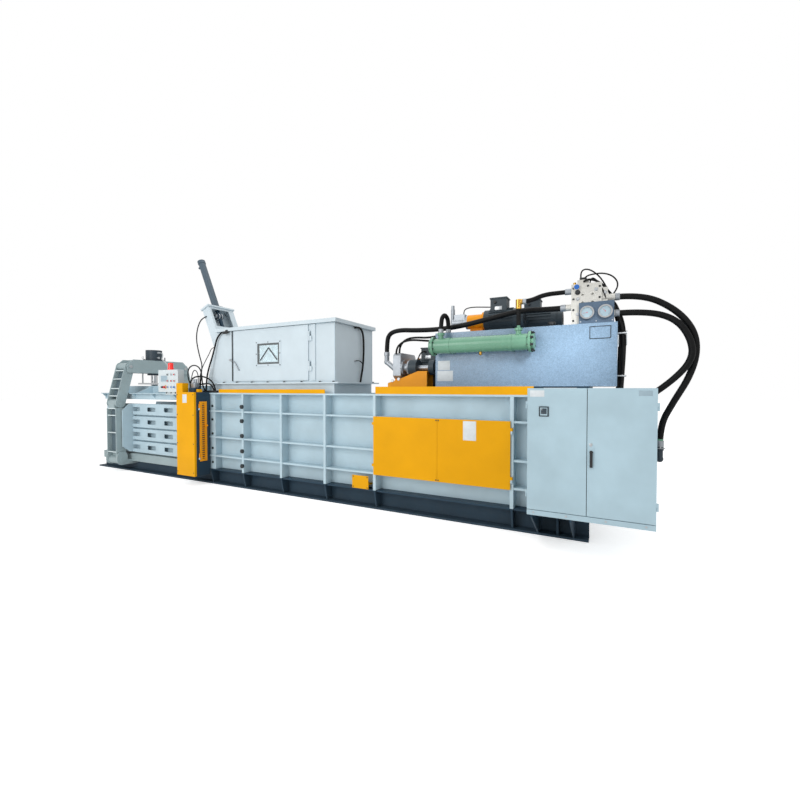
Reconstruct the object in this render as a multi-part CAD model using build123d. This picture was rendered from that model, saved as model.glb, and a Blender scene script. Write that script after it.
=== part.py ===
from build123d import *
import math
import os

# Horizontal recycling baler. X runs along the machine, bales leave at -X, the operator stands at -Y.
# The origin is on the floor, below the middle of the skid. All sizes are millimetres.

# Skid
SKID_LENGTH = 9252.0
SKID_TOP = 256.0
SKID_FLANGE_OUT = 590.0
SKID_SHELF_OUT = 600.0
SKID_WEB_IN = 440.0
SKID_WEB = 20.0
SKID_INNER = 400.0
FLANGE_T = 25.0
SHELF_T = 20.0
CROSS_INSET = 126.0
CROSS_COUNT = 11
CROSS_W = 120.0
GUSSET_T = 22.0
GUSSET_TOE = 563.0
REAR_GUSSET_X = 4320.0

# Pressing chamber and its welded walls
CHAMBER_W = 900.0
CHAMBER_H = 1110.0
FLOOR_T = 24.0
WALL_SKIN = 20.0
WALL_OUT = 620.0
WALL_LEFT = -1190.0
WALL_RIGHT = 4620.0
WALL_TOP = 1530.0
WALL_FLANGE = 22.0
POST_W = 40.0
POST_X = [-389.0, 417.0, 1234.0, 2051.0, 3838.0]
RIB_Z = [480.0, 792.0, 1226.0]
RIB_T = 24.0
RIB_INSET = 8.0
ROOF_T = 20.0
BOLT_Z = [368.0, 604.0, 848.0, 1084.0, 1310.0]
BOLT_AF = 60.0
BOLT_HEAD = 26.0
SMALL_BOLT_AF = 36.0
SMALL_BOLT_HEAD = 12.0
SMALL_BOLT_X = -1125.0
END_POST_W = 130.0
END_POST_INSET = 30.0

# Feed opening below the hopper, with its fixed shear blade
FEED_LEFT = -690.0
FEED_RIGHT = 1300.0
BLADE_W = 60.0
BLADE_H = 50.0

# Service bay behind the two yellow doors
BAY_LEFT = 2120.0
BAY_RIGHT = 3780.0
BAY_LOW = 520.0
BAY_HIGH = 1190.0
DOOR_T = 22.0
DOOR_GAP = 3.0
DOOR_LEFT = 2052.0
DOOR_RIGHT = 3826.0
DOOR_SEAM = 2952.0
DOOR_LOW = 471.0
DOOR_HIGH = 1236.0
DOOR_SHEET = 3.0
DOOR_ROUND = 6.0
DOOR_HINGE_IN = 110.0
HINGE_R = 14.0
HINGE_LEN = 70.0
HINGE_PIN = 6.0
PIN_CLEAR = 0.05

# Ram, its rod and the main cylinder
RAM_FACE = 1345.0
RAM_LENGTH = 2400.0
RAM_SIDE_CLEAR = 6.0
RAM_FLOOR_CLEAR = 0.5
RAM_ROOF_CLEAR = 6.0
RAM_HEAD = 150.0
RAM_PLATE = 30.0
RAM_SLOT_H = 44.0
RAM_SLOT_DEPTH = 90.0
RAM_STROKE = 2400.0
ROD_R = 100.0
PISTON_R = 125.0
BARREL_R = 152.0
BARREL_FRONT = 1830.0
GLAND_L = 150.0
BARREL_REAR = 5200.0
CAP_L = 130.0
CAP_R = 172.0
PISTON_L = 160.0
MOUNT_RING_R = 235.0
MOUNT_RING_L = 50.0
END_PLATE_T = 60.0
BORE_CLEAR = 1.0

# Bale exit: fixed sill, side press panels and top press plate
EXIT_LEFT = -4500.0
PANEL_LEFT = -4400.0
SILL_LOW = 190.0
SILL_HIGH = 334.0
SILL_OUT = 560.0
SILL_T = 20.0
RAIL_COUNT = 4
RAIL_LOW = 366.0
RAIL_H = 212.0
RAIL_PITCH = 243.0
RAIL_DEPTH = 90.0
RAIL_SKIN = 12.0
SLOT_L = 260.0
SLOT_H = 80.0
STIFFENER_T = 24.0
STIFFENER_REACH = 728.0
STIFFENER_CHAMFER = 120.0
PAD_OUT = 649.0
SLOT_X = [-3950.0, -3400.0, -2910.0, -2395.0, -1900.0]
GUSSET_X = [-4450.0, -3427.0, -2815.0, -2182.0, -1780.0]
PANEL_HINGE_Y = 500.0
PANEL_KNUCKLE_Z = [406.0, 1135.0]
TOP_KNUCKLE_Y = [-300.0, 300.0]
LIP_NOTCH = 30.0
KNUCKLE_L = 120.0
SHOE_R = 30.0
SHOE_GAP = 0.5
GUIDE_RAIL_TOP = 350.0
PLATE_T = 24.0
PLATE_GAP = 2.0
LIP_OUT = 600.0
LIP_Z = 1500.0
LIP_T = 14.0
LIP_WEB = 520.0
GIRDER_W = 400.0
GIRDER_TOP = 1655.0
GIRDER_SKIN = 16.0
PLATE_HINGE_Z = 1452.0
HINGE_X = -1690.0
PANEL_HINGE_R = 24.0

# Squeeze portal: two folding arms, a floating beam and its cylinder
PORTAL_X = -3700.0
PORTAL_W = 330.0
PORTAL_PLATE = 22.0
ARM_SIDE_GAP = 6.0
ARM_W = 170.0
ARM_DROP = 70.0
PIN_R = 42.0
BOSS_R = 78.0
FOOT_PIN_Y = 735.0
FOOT_PIN_Z = 228.0
KNEE_PIN_Y = 735.0
KNEE_PIN_Z = 1320.0
HEAD_PIN_Y = 560.0
HEAD_PIN_Z = 2030.0
HEAD_PIN_CLEAR = 2.0
KNUCKLE_W = 190.0
KNUCKLE_GAP = 2.0
ARM_WEB = 14.0
RUNG_T = 16.0
RUNG_SHARE = 0.94
LOWER_RUNGS = [0.16, 0.53, 0.86]
UPPER_RUNGS = [0.17, 0.37, 0.63, 0.86]
KNUCKLE_DROP = 14.0
WEB_START = 160.0
FOOT_WEB_H = 200.0
KNEE_PIN_OUT = 8.0
FORK_CLEAR = 12.0
BARREL_INSET = 4.0
BEAM_TOP = 2172.0
BEAM_LOW = 1912.0
BEAM_HALF = 630.0
BEAM_CHAMFER = 122.0
BEAM_TRAY = 20.0
SQUEEZE_R = 148.0
SQUEEZE_NOSE_R = 120.0
SQUEEZE_TOP = 2395.0
SQUEEZE_ROD_R = 60.0
GUIDE_R = 14.0
GUIDE_OUT = 230.0
EAR_T = 26.0
EAR_GAP = 8.0
EAR_REACH = 92.0
EAR_ROOT = 140.0
FOOT_T = 30.0

# Tying frame between the chamber and the exit
TIE_LEFT = -1613.0
TIE_RIGHT = -1195.0
TIE_BOX_RIGHT = -1165.0
TIE_LOW = 171.0
TIE_TOP = 1542.0
TIE_OUT = 862.0
COVER_OUT = 900.0
COVER_T = 4.0
TIE_SKIN = 8.0
TIE_RIB = 20.0
LUG_L = 30.0
TALL_BOX_L = 158.0
TALL_BOX_W = 70.0
TALL_BOX_H = 150.0
SMALL_BOX_L = 60.0
SMALL_BOX_INSET = 50.0
SMALL_BOX_W = 60.0
SMALL_BOX_H = 48.0
WIRE_Z = [430.0, 632.5, 835.0, 1037.5, 1240.0]
NEEDLE_SLOT_H = 60.0
NEEDLE_SLOT_L = 120.0
NEEDLE_X = -1400.0
NEEDLE_R = 14.0
CARRIAGE_Y = 1900.0
CARRIAGE_W = 80.0
RUNNER_R = 30.0
RUNNER_LOW_Z = 330.0
RUNNER_HIGH_Z = 1340.0
GUARD_GAP = 2.0
GUARD_T = 20.0
GUARD_LOW = 408.0
GUARD_HIGH = 1388.0
GUARD_FRAME = 34.0
GUARD_BARS = 26
GUARD_HINGE_Z = [470.0, 1280.0]
KNOB_Z = 992.0
GUARD_INSET = 55.0
GUARD_WIDTH = 122.0
GUARD_PIN_R = 9.0

# Control box beside the tying frame
DESK_LEFT = -2250.0
DESK_RIGHT = -1712.0
DESK_FRONT = -800.0
DESK_BACK = -690.0
DESK_LOW = 1540.0
DESK_HIGH = 1924.0
SCREEN_IN = 165.0
SCREEN_UP = 240.0
SCREEN_HALF_L = 100.0
SCREEN_HALF_H = 72.0
BEZEL_T = 6.0
LAMP_OUT = 12.0
BUTTON_SOCKET = 40.0
BUTTON_STEM = 9.0
BUTTON_LIFT = 14.0
STEM_DEPTH = 24.0
BRACKET_IN = 120.0
BRACKET_D = 60.0
BRACKET_H = 44.0
HANGER_DROP = 120.0
BEACON_IN = 262.0
BEACON_BASE_R = 48.0
BEACON_BASE_H = 30.0
BEACON_R = 42.0
BEACON_H = 92.0
BEACON_ROUND = 16.0
GRIP_HALF = 5.0
BUTTON_R = 15.0
BUTTON_OUT = 22.0
LAMP_PLACES = [(-1984.0, 1840.0), (-1885.0, 1840.0), (-1800.0, 1840.0), (-1984.0, 1732.0), (-1885.0, 1732.0),
               (-1800.0, 1732.0), (-1984.0, 1626.0), (-1885.0, 1626.0), (-2150.0, 1626.0)]
STOP_PLACE = (-2053.0, 1626.0)
START_PLACE = (-1800.0, 1626.0)
SWITCH_PLACE = (-2106.0, 1626.0)

# Hopper with its door and press tower
HOPPER_HALF = 500.0
HOPPER_RIGHT = 1332.0
HOPPER_LEFT_LOW = -1370.0
HOPPER_LEFT_MID = -1190.0
HOPPER_LEFT_TOP = -1322.0
HOPPER_MID_Z = 2300.0
HOPPER_TOP = 2600.0
HOPPER_LOW = 1675.0
HOPPER_T = 8.0
RIM_OUT = 43.0
RIM_DROP = 55.0
SEAT_OUT = 62.0
SEAT_T = 20.0
SEAT_RIGHT = 1430.0
RIM_LEFT = -1110.0
SKIRT_LEFT = -1270.0
SKIRT_RIGHT = 1320.0
STRIP_X0 = 920.0
STRIP_X1 = 990.0
HATCH_GAP = 2.0
HATCH_AXIS_X = 885.0
HATCH_AXIS_OUT = 24.0
HATCH_HINGE_R = 16.0
HATCH_HINGE_Z = [1930.0, 2370.0]
PANE_FRAME = 34.0
HATCH_LEFT = -700.0
HATCH_RIGHT = 861.0
HATCH_LOW = 1722.0
HATCH_TOP_DROP = 60.0
HATCH_T = 14.0
HATCH_LAP = 60.0
PANE_LEFT = -159.0
PANE_RIGHT = 301.0
PANE_LOW = 1982.0
PANE_HIGH = 2306.0
PANE_T = 6.0
TOWER_TILT = 24.0
TOWER_OUT = 88.0
TOWER_RISE = 405.0
TOWER_T = 165.0
TOWER_W = 500.0
TOWER_SKIN = 10.0
TOWER_CAP = 28.0
TOWER_CAP_OUT = 20.0
TOWER_REACH = 700.0
TOWER_OPEN_Y = -31.0
TOWER_OPEN_W = 350.0
TOWER_OPEN_LOW = -400.0
TOWER_OPEN_HIGH = -62.0
PUSHER_GAP = 6.0
PUSHER_LOW = 900.0
PUSHER_HIGH = 500.0
CLEVIS_Z = 150.0
PRESS_Y = -20.0
PRESS_BARREL_R = 58.0
PRESS_BARREL_L = 980.0
PRESS_ROD_R = 30.0
PRESS_STROKE = 450.0

# Power pack on the deck behind the hopper
DECK_LEFT = 2070.0
DECK_TOP = 1625.0
DECK_T = 16.0
FASCIA_T = 8.0
STRIP_LEFT = -940.0
STRIP_RIGHT = 1236.0
STRIP_TOP = 1589.0
ACCESS_X0 = 1698.0
ACCESS_X1 = 1956.0
ACCESS_LOW = 258.0
ACCESS_HIGH = 432.0
ACCESS_T = 4.0
ACCESS_EDGE = 20.0
ACCESS_BACK_Z = 300.0
ACCESS_BACK_T = 16.0
TANK_LEFT = 2799.0
TANK_RIGHT = 4872.0
TANK_FRONT = -320.0
TANK_BACK = 540.0
TANK_TOP = 2311.0
TANK_SKIN = 8.0
COOLER_Y = -455.0
COOLER_Z = 2130.0
COOLER_R = 94.0
COOLER_LEFT = 2818.0
COOLER_RIGHT = 4020.0
COOLER_FLANGE_R = 118.0
COOLER_FLANGE_L = 28.0
COOLER_PORT_INSET = [107.0, 147.0]
COOLER_BAND_INSET = [222.0, 233.0]
COOLER_PORT_TOP = 2290.0
STEM_R = 19.0
TEE_LOW = 2505.0
TEE_TOP = 2612.0
TEE_R = 31.0
TEE_ARM_R = 28.0
TEE_ARM_Z = 2585.0
TEE_ARM_L = 46.0
LOW_SET_Y = 215.0
LOW_SET_Z = 1895.0
HIGH_SET_Y = 60.0
HIGH_SET_Z = 2486.0
BACK_SET_Y = 370.0
BLOCK_LEFT = 4412.0
BLOCK_RIGHT = 4722.0
BLOCK_FRONT = -250.0
BLOCK_BACK = -40.0
BLOCK_TOP = 2765.0
DIAL_PLATE_LEFT = 4495.0
DIAL_PLATE_RIGHT = 4842.0
DIAL_PLATE_TOP = 2545.0
DIAL_X = [4578.0, 4757.0]
DIAL_Z = 2430.0
DIAL_R = 70.0
DIAL_DEPTH = 30.0
DIAL_PLATE_GAP = 50.0
DECK_HALF = 600.0
DECK_CHANNELS = 5
STRAP_W = 40.0
BADGE_X0 = 4609.0
BADGE_X1 = 4811.0
BADGE_Z0 = 2143.0
BADGE_Z1 = 2272.0
CASE_X0 = 2084.0
CASE_X1 = 2203.0
CASE_FRONT = -160.0
CASE_BACK = 330.0
CASE_LOW = 1742.0
CASE_TOP = 2099.0
CASE_CHAMFER = 40.0
INLET_Y = -60.0
INLET_Z = 1890.0
INLET_NECK_R = 62.0
INLET_PLATE_T = 26.0
INLET_PLATE_R = 104.0
INLET_X1 = 2320.0
RING_X1 = 2440.0
RING_R = 116.0
SUCTION_R = 35.0
VALVE_X0 = 2620.0
VALVE_X1 = 2694.0
VALVE_R = 104.0
VALVE_NECK_R = 58.0
ELBOW_X = 1930.0
ELBOW_Y = -60.0
ELBOW_LOW_Z = 1870.0
ELBOW_Z = 1985.0
ELBOW_TOP = 2072.0
ELBOW_R = 34.0
CRADLE_LEFT = 2017.0
CRADLE_RIGHT = 2617.0
CRADLE_FRONT = -190.0
CRADLE_BACK = 30.0
CRADLE_TOE_Z = 1679.0
CRADLE_MID = (2239.0, 1747.0)
CRADLE_HEEL = (2454.0, 1826.0)
CRADLE_HEAD_X = 2484.0
CRADLE_HEAD_Z = 1837.0
CRADLE_PAD = 200.0
BELL_LOW_R0 = 105.0
BELL_LOW_R1 = 122.0
BELL_LOW_X1 = 2310.0
BELL_LOW_FLANGE_R = 148.0
BELL_FLANGE_T = 30.0
BELL_HIGH_FLANGE_R = 118.0
MOTOR_LOW_R = 140.0
LOW_BOX_X0 = 2392.0
LOW_BOX_X1 = 2604.0
LOW_BOX_TOP = 2170.0
PUMP_HIGH_X0 = 2905.0
PUMP_HIGH_X1 = 3120.0
PUMP_HIGH_R = 60.0
PUMP_BLOCK_X0 = 2932.0
PUMP_BLOCK_X1 = 3078.0
PUMP_BLOCK_TOP = 2592.0
PUMP_BLOCK_HALF = 52.0
RISER_X = 2895.0
RISER_R = 28.0
RISER_LOW = 2440.0
RISER_TOP = 2674.0
RISER_CAP_R = 22.0
RISER_CAP_TOP = 2726.0
BELL_HIGH_R = 94.0
MOTOR_HIGH_X0 = 3350.0
MOTOR_HIGH_X1 = 3850.0
MOTOR_HIGH_R = 135.0
HIGH_BOX_X0 = 3435.0
HIGH_BOX_X1 = 3640.0
HIGH_BOX_TOP = 2745.0
MOTOR_BACK_X0 = 3740.0
MOTOR_BACK_X1 = 4270.0
MOTOR_BACK_R = 125.0
BACK_BOX_X0 = 3800.0
BACK_BOX_X1 = 4000.0
BACK_BOX_TOP = 2745.0
MOTOR_RIBS = 20
RIB_SHARE = 0.6
COWL_SHARE = 0.94
FOOT_SHARE = 0.8
WEB_SHARE = 0.5
BOX_SHARE = 0.65
LID_SHARE = 0.72
BLOCK_STEP = 58.0
BLOCK_HOLE_X = [4530.0, 4630.0]
BLOCK_HOLE_Z = [2555.0, 2640.0]
BLOCK_HOLE_R = 14.0
BLOCK_KNOB_Z = 2728.0
LEFT_PORT_Z = 2520.0

# Electrical cabinet
CAB_LEFT = 4076.0
CAB_RIGHT = 5174.0
CAB_FRONT = -1040.0
CAB_LOW = 350.0
CAB_DOOR_LOW = 406.0
CAB_TOP = 1604.0
CAB_SKIN = 3.0
CAB_DOOR_T = 22.0
CAB_SEAM = 4616.0
CAB_GAP = 6.0
CAB_CLEAR = 2.0
CAB_WALL = 6.0
CAB_HINGE_R = 9.0
CAB_HINGE_Z = [560.0, 1440.0]
METER_X0 = 4199.0
METER_X1 = 4265.0
METER_Z0 = 1339.0
METER_Z1 = 1415.0
BRACKET_X = [4112.0, 4472.0]
HANDLE_X = 4654.0
HANDLE_LOW = 868.0
HANDLE_HIGH = 1010.0

# Hoses and the pipe along the main cylinder
HOSE_R = 32.0
THIN_HOSE_R = 13.0
REAR_PORT_X = 5300.0
REAR_PORT_TOP = 970.0
FRONT_PORT_X = 4850.0
FRONT_PORT_TOP = 1080.0
PIPE_R = 22.0
PIPE_START = 1900.0
ELBOW_ROUND = 5.0
BLOCK_PORT_X = 4850.0
BLOCK_PORT_Y = -200.0
BLOCK_PORT_Z = [2595.0, 2418.0]
LOOP_UPPER = [(5105.0, -200.0, 2595.0), (5390.0, -188.0, 2430.0), (5560.0, -160.0, 2215.0),
              (5602.0, -140.0, 1985.0), (5545.0, -110.0, 1725.0), (5410.0, -60.0, 1455.0),
              (5300.0, 0.0, 1200.0)]
LOOP_LOWER = [(5130.0, -200.0, 2418.0), (5395.0, -220.0, 2322.0), (5528.0, -225.0, 2120.0),
              (5556.0, -215.0, 1900.0), (5390.0, -150.0, 1680.0), (5110.0, -40.0, 1450.0),
              (4850.0, 0.0, 1290.0)]
PRESSURE_RUN = [(1930.0, -60.0, 2222.0), (1958.0, -64.0, 2385.0), (2130.0, -78.0, 2432.0),
                (2420.0, -100.0, 2404.0), (2760.0, -147.0, 2388.0), (3100.0, -180.0, 2405.0),
                (3480.0, -200.0, 2470.0), (3850.0, -205.0, 2535.0), (4150.0, -200.0, 2520.0)]
COOLER_RUN = [(2925.0, -455.0, 2450.0), (2943.0, -400.0, 2532.0), (2961.0, -325.0, 2500.0),
              (2960.0, -285.0, 2420.0), (2960.0, -285.0, 2311.0)]
TEE_RUN = [(4000.0, -455.0, 2585.0), (4130.0, -340.0, 2665.0), (4300.0, -200.0, 2700.0),
           (4412.0, -200.0, 2700.0)]

CHAMBER_LOW = SKID_TOP + FLOOR_T
CHAMBER_TOP = CHAMBER_LOW + CHAMBER_H
CHAMBER_MID = (CHAMBER_LOW + CHAMBER_TOP) / 2
CHAMBER_HALF = CHAMBER_W / 2
SKIN_OUT = CHAMBER_HALF + WALL_SKIN
WALL_SOFFIT = WALL_TOP - WALL_FLANGE
ARM_X0 = PORTAL_X - PORTAL_W / 2 + ARM_SIDE_GAP
ARM_X1 = PORTAL_X + PORTAL_W / 2 - ARM_SIDE_GAP
PANEL_RIGHT = HINGE_X - PANEL_HINGE_R - 6.0
CROSS_PITCH = (SKID_LENGTH - 2 * CROSS_INSET) / (CROSS_COUNT - 1)
HATCH_HIGH = HOPPER_TOP - HATCH_TOP_DROP
HATCH_AXIS_Y = -HOPPER_HALF - HATCH_AXIS_OUT
TOWER_X = HOPPER_LEFT_TOP - TOWER_OUT
TOWER_TOP = HOPPER_TOP + TOWER_RISE
COOLER_PORT_X = [COOLER_LEFT + COOLER_PORT_INSET[0], COOLER_RIGHT - COOLER_PORT_INSET[1]]
COOLER_BAND_X = [COOLER_LEFT + COOLER_BAND_INSET[0], COOLER_RIGHT - COOLER_BAND_INSET[1]]
NEAR, FAR = -1.0, 1.0


def block(x0, x1, y0, y1, z0, z1):
    """A block between two opposite corners, given in any order along Y."""
    low, high = min(y0, y1), max(y0, y1)
    size = Box(x1 - x0, high - low, z1 - z0)
    return Pos((x0 + x1) / 2, (low + high) / 2, (z0 + z1) / 2) * size


def bar_x(x0, x1, y, z, radius):
    """A round bar along X."""
    return Pos((x0 + x1) / 2, y, z) * Rot(0, 90, 0) * Cylinder(radius, x1 - x0)


def bar_y(x, y0, y1, z, radius):
    """A round bar along Y."""
    return Pos(x, (y0 + y1) / 2, z) * Rot(90, 0, 0) * Cylinder(radius, abs(y1 - y0))


def bar_z(x, y, z0, z1, radius):
    """A round bar along Z."""
    return Pos(x, y, (z0 + z1) / 2) * Cylinder(radius, z1 - z0)


def cut_x(points, x0, x1):
    """A plate of the outline (y, z), standing across X."""
    return extrude(Plane.YZ.offset(x0) * Polygon(*points, align=None), x1 - x0, dir=(1, 0, 0))


def cut_y(points, y0, y1):
    """A plate of the outline (x, z), standing across Y."""
    return extrude(Plane.XZ.offset(-y1) * Polygon(*points, align=None), y1 - y0, dir=(0, -1, 0))


def join(shapes):
    """All shapes welded or grouped into one."""
    first, rest = shapes[0], list(shapes[1:])
    return first + rest if rest else first


def hexagon_y(x, y0, y1, z, flats):
    """A hexagon bolt head along Y."""
    outline = RegularPolygon(flats / 2, 6, major_radius=False)
    return extrude(Plane.XZ.offset(-max(y0, y1)) * Pos(x, z) * outline, abs(y1 - y0))


def mirrored(shape):
    """The same piece on the other side of the machine."""
    return mirror(shape, about=Plane.XZ)


# Structure

def base_skid():
    """Two long beams with tapered gussets, tied by cross members."""
    half = SKID_LENGTH / 2
    pieces = []
    for side in (NEAR, FAR):
        web_out = side * (SKID_WEB_IN + SKID_WEB)
        pieces.append(block(-half, half, side * SKID_WEB_IN, web_out, 0, SKID_TOP))
        pieces.append(block(-half, half, side * SKID_INNER, side * SKID_FLANGE_OUT, 0, FLANGE_T))
        pieces.append(block(-half, half, side * SKID_INNER, side * SKIN_OUT, SKID_TOP - SHELF_T, SKID_TOP))
        pieces.append(block(WALL_LEFT, half, web_out, side * SKID_SHELF_OUT, SKID_TOP - SHELF_T, SKID_TOP))
        outline = [(web_out, 0), (side * GUSSET_TOE, 0), (side * WALL_OUT, SKID_TOP), (web_out, SKID_TOP)]
        for x in [WALL_LEFT + POST_W] + POST_X + [REAR_GUSSET_X]:
            if abs(x) < half - GUSSET_T:
                pieces.append(cut_x(outline, x - GUSSET_T / 2, x + GUSSET_T / 2))
    for index in range(CROSS_COUNT):
        x = (index - (CROSS_COUNT - 1) / 2) * CROSS_PITCH
        pieces.append(block(x - CROSS_W / 2, x + CROSS_W / 2, -SKID_WEB_IN, SKID_WEB_IN, 0,
                            SKID_TOP - SHELF_T))
    return join(pieces)


def side_wall(side):
    """A skin with posts, ribs and a top flange; the near one has the service bay."""
    skin = block(WALL_LEFT, WALL_RIGHT, side * CHAMBER_HALF, side * SKIN_OUT, SKID_TOP, WALL_SOFFIT)
    pieces = [skin]
    post_out = WALL_OUT - END_POST_INSET
    pieces.append(block(WALL_LEFT, WALL_LEFT + END_POST_W, side * SKIN_OUT, side * post_out, SKID_TOP,
                        WALL_SOFFIT))
    for x in POST_X + [WALL_RIGHT - POST_W / 2]:
        pieces.append(block(x - POST_W / 2, x + POST_W / 2, side * SKIN_OUT, side * WALL_OUT, SKID_TOP,
                            WALL_SOFFIT))
    for z in RIB_Z:
        pieces.append(block(WALL_LEFT, WALL_RIGHT, side * SKIN_OUT, side * (WALL_OUT - RIB_INSET),
                            z - RIB_T / 2, z + RIB_T / 2))
    pieces.append(block(WALL_LEFT, WALL_RIGHT, side * CHAMBER_HALF, side * WALL_OUT, WALL_SOFFIT, WALL_TOP))
    wall = join(pieces)
    if side == NEAR:
        wall -= block(BAY_LEFT, BAY_RIGHT, -CHAMBER_HALF + 1, -WALL_OUT - 1, BAY_LOW, BAY_HIGH)
    return wall


def chamber_floor():
    """The wear plate that the bale slides on, from the ram to the exit."""
    return block(EXIT_LEFT, WALL_RIGHT - END_PLATE_T, -CHAMBER_HALF, CHAMBER_HALF, SKID_TOP, CHAMBER_LOW)


def roof_plates():
    """The chamber roof before and behind the feed opening, with stiffeners."""
    pieces = []
    for x0, x1, count in ((WALL_LEFT, FEED_LEFT, 2), (FEED_RIGHT, WALL_RIGHT - END_PLATE_T, 6)):
        pieces.append(block(x0, x1, -CHAMBER_HALF, CHAMBER_HALF, CHAMBER_TOP, CHAMBER_TOP + ROOF_T))
        for index in range(count):
            x = x0 + (x1 - x0) * (index + 0.5) / count
            pieces.append(block(x - RIB_T / 2, x + RIB_T / 2, -CHAMBER_HALF, CHAMBER_HALF,
                                CHAMBER_TOP + ROOF_T, WALL_TOP))
    return join(pieces)


def shear_blade():
    """The fixed blade bolted to the roof edge where the ram cuts the feed."""
    return block(FEED_LEFT, FEED_LEFT + BLADE_W, -CHAMBER_HALF, CHAMBER_HALF, CHAMBER_TOP,
                 CHAMBER_TOP + BLADE_H)


def rear_end_frame():
    """The thick end plate that the main cylinder is flanged to, with a ring and ribs."""
    x0, x1 = WALL_RIGHT - END_PLATE_T, WALL_RIGHT
    plate = block(x0, x1, -CHAMBER_HALF, CHAMBER_HALF, SKID_TOP, WALL_TOP)
    plate -= bar_x(x0 - 1, x1 + 1, 0, CHAMBER_MID, BARREL_R + BORE_CLEAR)
    plate -= bar_x(x0 - 1, x1 + 1, 0, CHAMBER_MID + BARREL_R + PIPE_R + ELBOW_ROUND, PIPE_R + BORE_CLEAR)
    return plate


def wall_bolts():
    """Black bolt heads on the first post and on the tying edge, both sides."""
    heads = []
    for side in (NEAR, FAR):
        face = side * WALL_OUT
        for z in BOLT_Z:
            heads.append(hexagon_y(POST_X[0], face, face + side * BOLT_HEAD, z, BOLT_AF))
            plate = face - side * END_POST_INSET
            heads.append(hexagon_y(SMALL_BOLT_X, plate, plate + side * SMALL_BOLT_HEAD, z, SMALL_BOLT_AF))
    return join(heads)


def trim_strips():
    """Yellow strips on the front and rear of the top flange, and the small yellow access plate."""
    front = block(STRIP_LEFT, STRIP_RIGHT, -WALL_OUT + RIB_INSET, -WALL_OUT + RIB_INSET + FASCIA_T, WALL_TOP,
                  STRIP_TOP)
    rear = block(DECK_LEFT, CAB_LEFT - CAB_GAP, -WALL_OUT, -WALL_OUT + FASCIA_T, WALL_TOP, DECK_TOP)
    face = -WALL_OUT + RIB_INSET
    plate = block(ACCESS_X0, ACCESS_X1, face - ACCESS_T, face, ACCESS_LOW, ACCESS_HIGH)
    back = block(ACCESS_X0 + ACCESS_EDGE, ACCESS_X1 - ACCESS_EDGE, face, -SKIN_OUT, ACCESS_BACK_Z,
                 ACCESS_BACK_Z + ACCESS_BACK_T)
    return join([front, rear, plate + back])


def service_door(side):
    """One leaf of the yellow service doors, with its hinge barrels on the outer edge."""
    x0, x1 = (DOOR_LEFT, DOOR_SEAM - DOOR_GAP / 2) if side == NEAR else (DOOR_SEAM + DOOR_GAP / 2, DOOR_RIGHT)
    back = -WALL_OUT - DOOR_GAP
    leaf = block(x0, x1, back - DOOR_T, back, DOOR_LOW, DOOR_HIGH)
    leaf = fillet(leaf.edges().filter_by(Axis.Y), DOOR_ROUND)
    pocket = block(x0 + DOOR_T, x1 - DOOR_T, back - DOOR_T + DOOR_SHEET, back + 1, DOOR_LOW + DOOR_T,
                   DOOR_HIGH - DOOR_T)
    leaf -= pocket
    edge = x0 if side == NEAR else x1
    barrels = []
    for z in (DOOR_LOW + DOOR_HINGE_IN, DOOR_HIGH - DOOR_HINGE_IN):
        axis_x = edge - HINGE_R if side == NEAR else edge + HINGE_R
        barrel = bar_z(axis_x, back - DOOR_T / 2, z, z + HINGE_LEN / 2 - 1, HINGE_R)
        lug = block(min(axis_x, edge), max(axis_x, edge), back - DOOR_T, back - DOOR_T / 2, z,
                    z + HINGE_LEN / 2 - 1)
        barrels.append(barrel + lug)
    leaf = join([leaf] + barrels)
    for z in (DOOR_LOW + DOOR_HINGE_IN, DOOR_HIGH - DOOR_HINGE_IN):
        axis_x = edge - HINGE_R if side == NEAR else edge + HINGE_R
        leaf -= bar_z(axis_x, back - DOOR_T / 2, z - 1, z + HINGE_LEN, HINGE_PIN + PIN_CLEAR)
    return leaf


def door_hinges():
    """The fixed hinge halves with their pins for the service doors."""
    back = -WALL_OUT - DOOR_GAP
    pieces = []
    for edge, sign in ((DOOR_LEFT, -1), (DOOR_RIGHT, 1)):
        for z in (DOOR_LOW + DOOR_HINGE_IN, DOOR_HIGH - DOOR_HINGE_IN):
            axis_x = edge + sign * HINGE_R
            half = bar_z(axis_x, back - DOOR_T / 2, z - HINGE_LEN / 2, z, HINGE_R)
            pin = bar_z(axis_x, back - DOOR_T / 2, z - HINGE_LEN / 2, z + HINGE_LEN / 2 - 1, HINGE_PIN)
            foot = block(axis_x - HINGE_R, axis_x + HINGE_R, back - DOOR_T / 2, -WALL_OUT,
                         z - HINGE_LEN / 2, z - 2)
            pieces.append(join([half, pin, foot]))
    return join(pieces + guard_hinges())


# Ram and main cylinder

def ram_platen():
    """A hollow ram box behind a thick slotted face."""
    half = CHAMBER_HALF - RAM_SIDE_CLEAR
    low, high = CHAMBER_LOW + RAM_FLOOR_CLEAR, CHAMBER_TOP - RAM_ROOF_CLEAR
    rear = RAM_FACE + RAM_LENGTH
    ram = block(RAM_FACE, rear, -half, half, low, high)
    ram -= block(RAM_FACE + RAM_HEAD, rear + 1, -half + RAM_PLATE, half - RAM_PLATE, low + RAM_PLATE,
                 high - RAM_PLATE)
    for z in WIRE_Z:
        ram -= block(RAM_FACE - 1, RAM_FACE + RAM_SLOT_DEPTH, -half - 1, half + 1, z - RAM_SLOT_H / 2,
                     z + RAM_SLOT_H / 2)
    return ram


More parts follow.
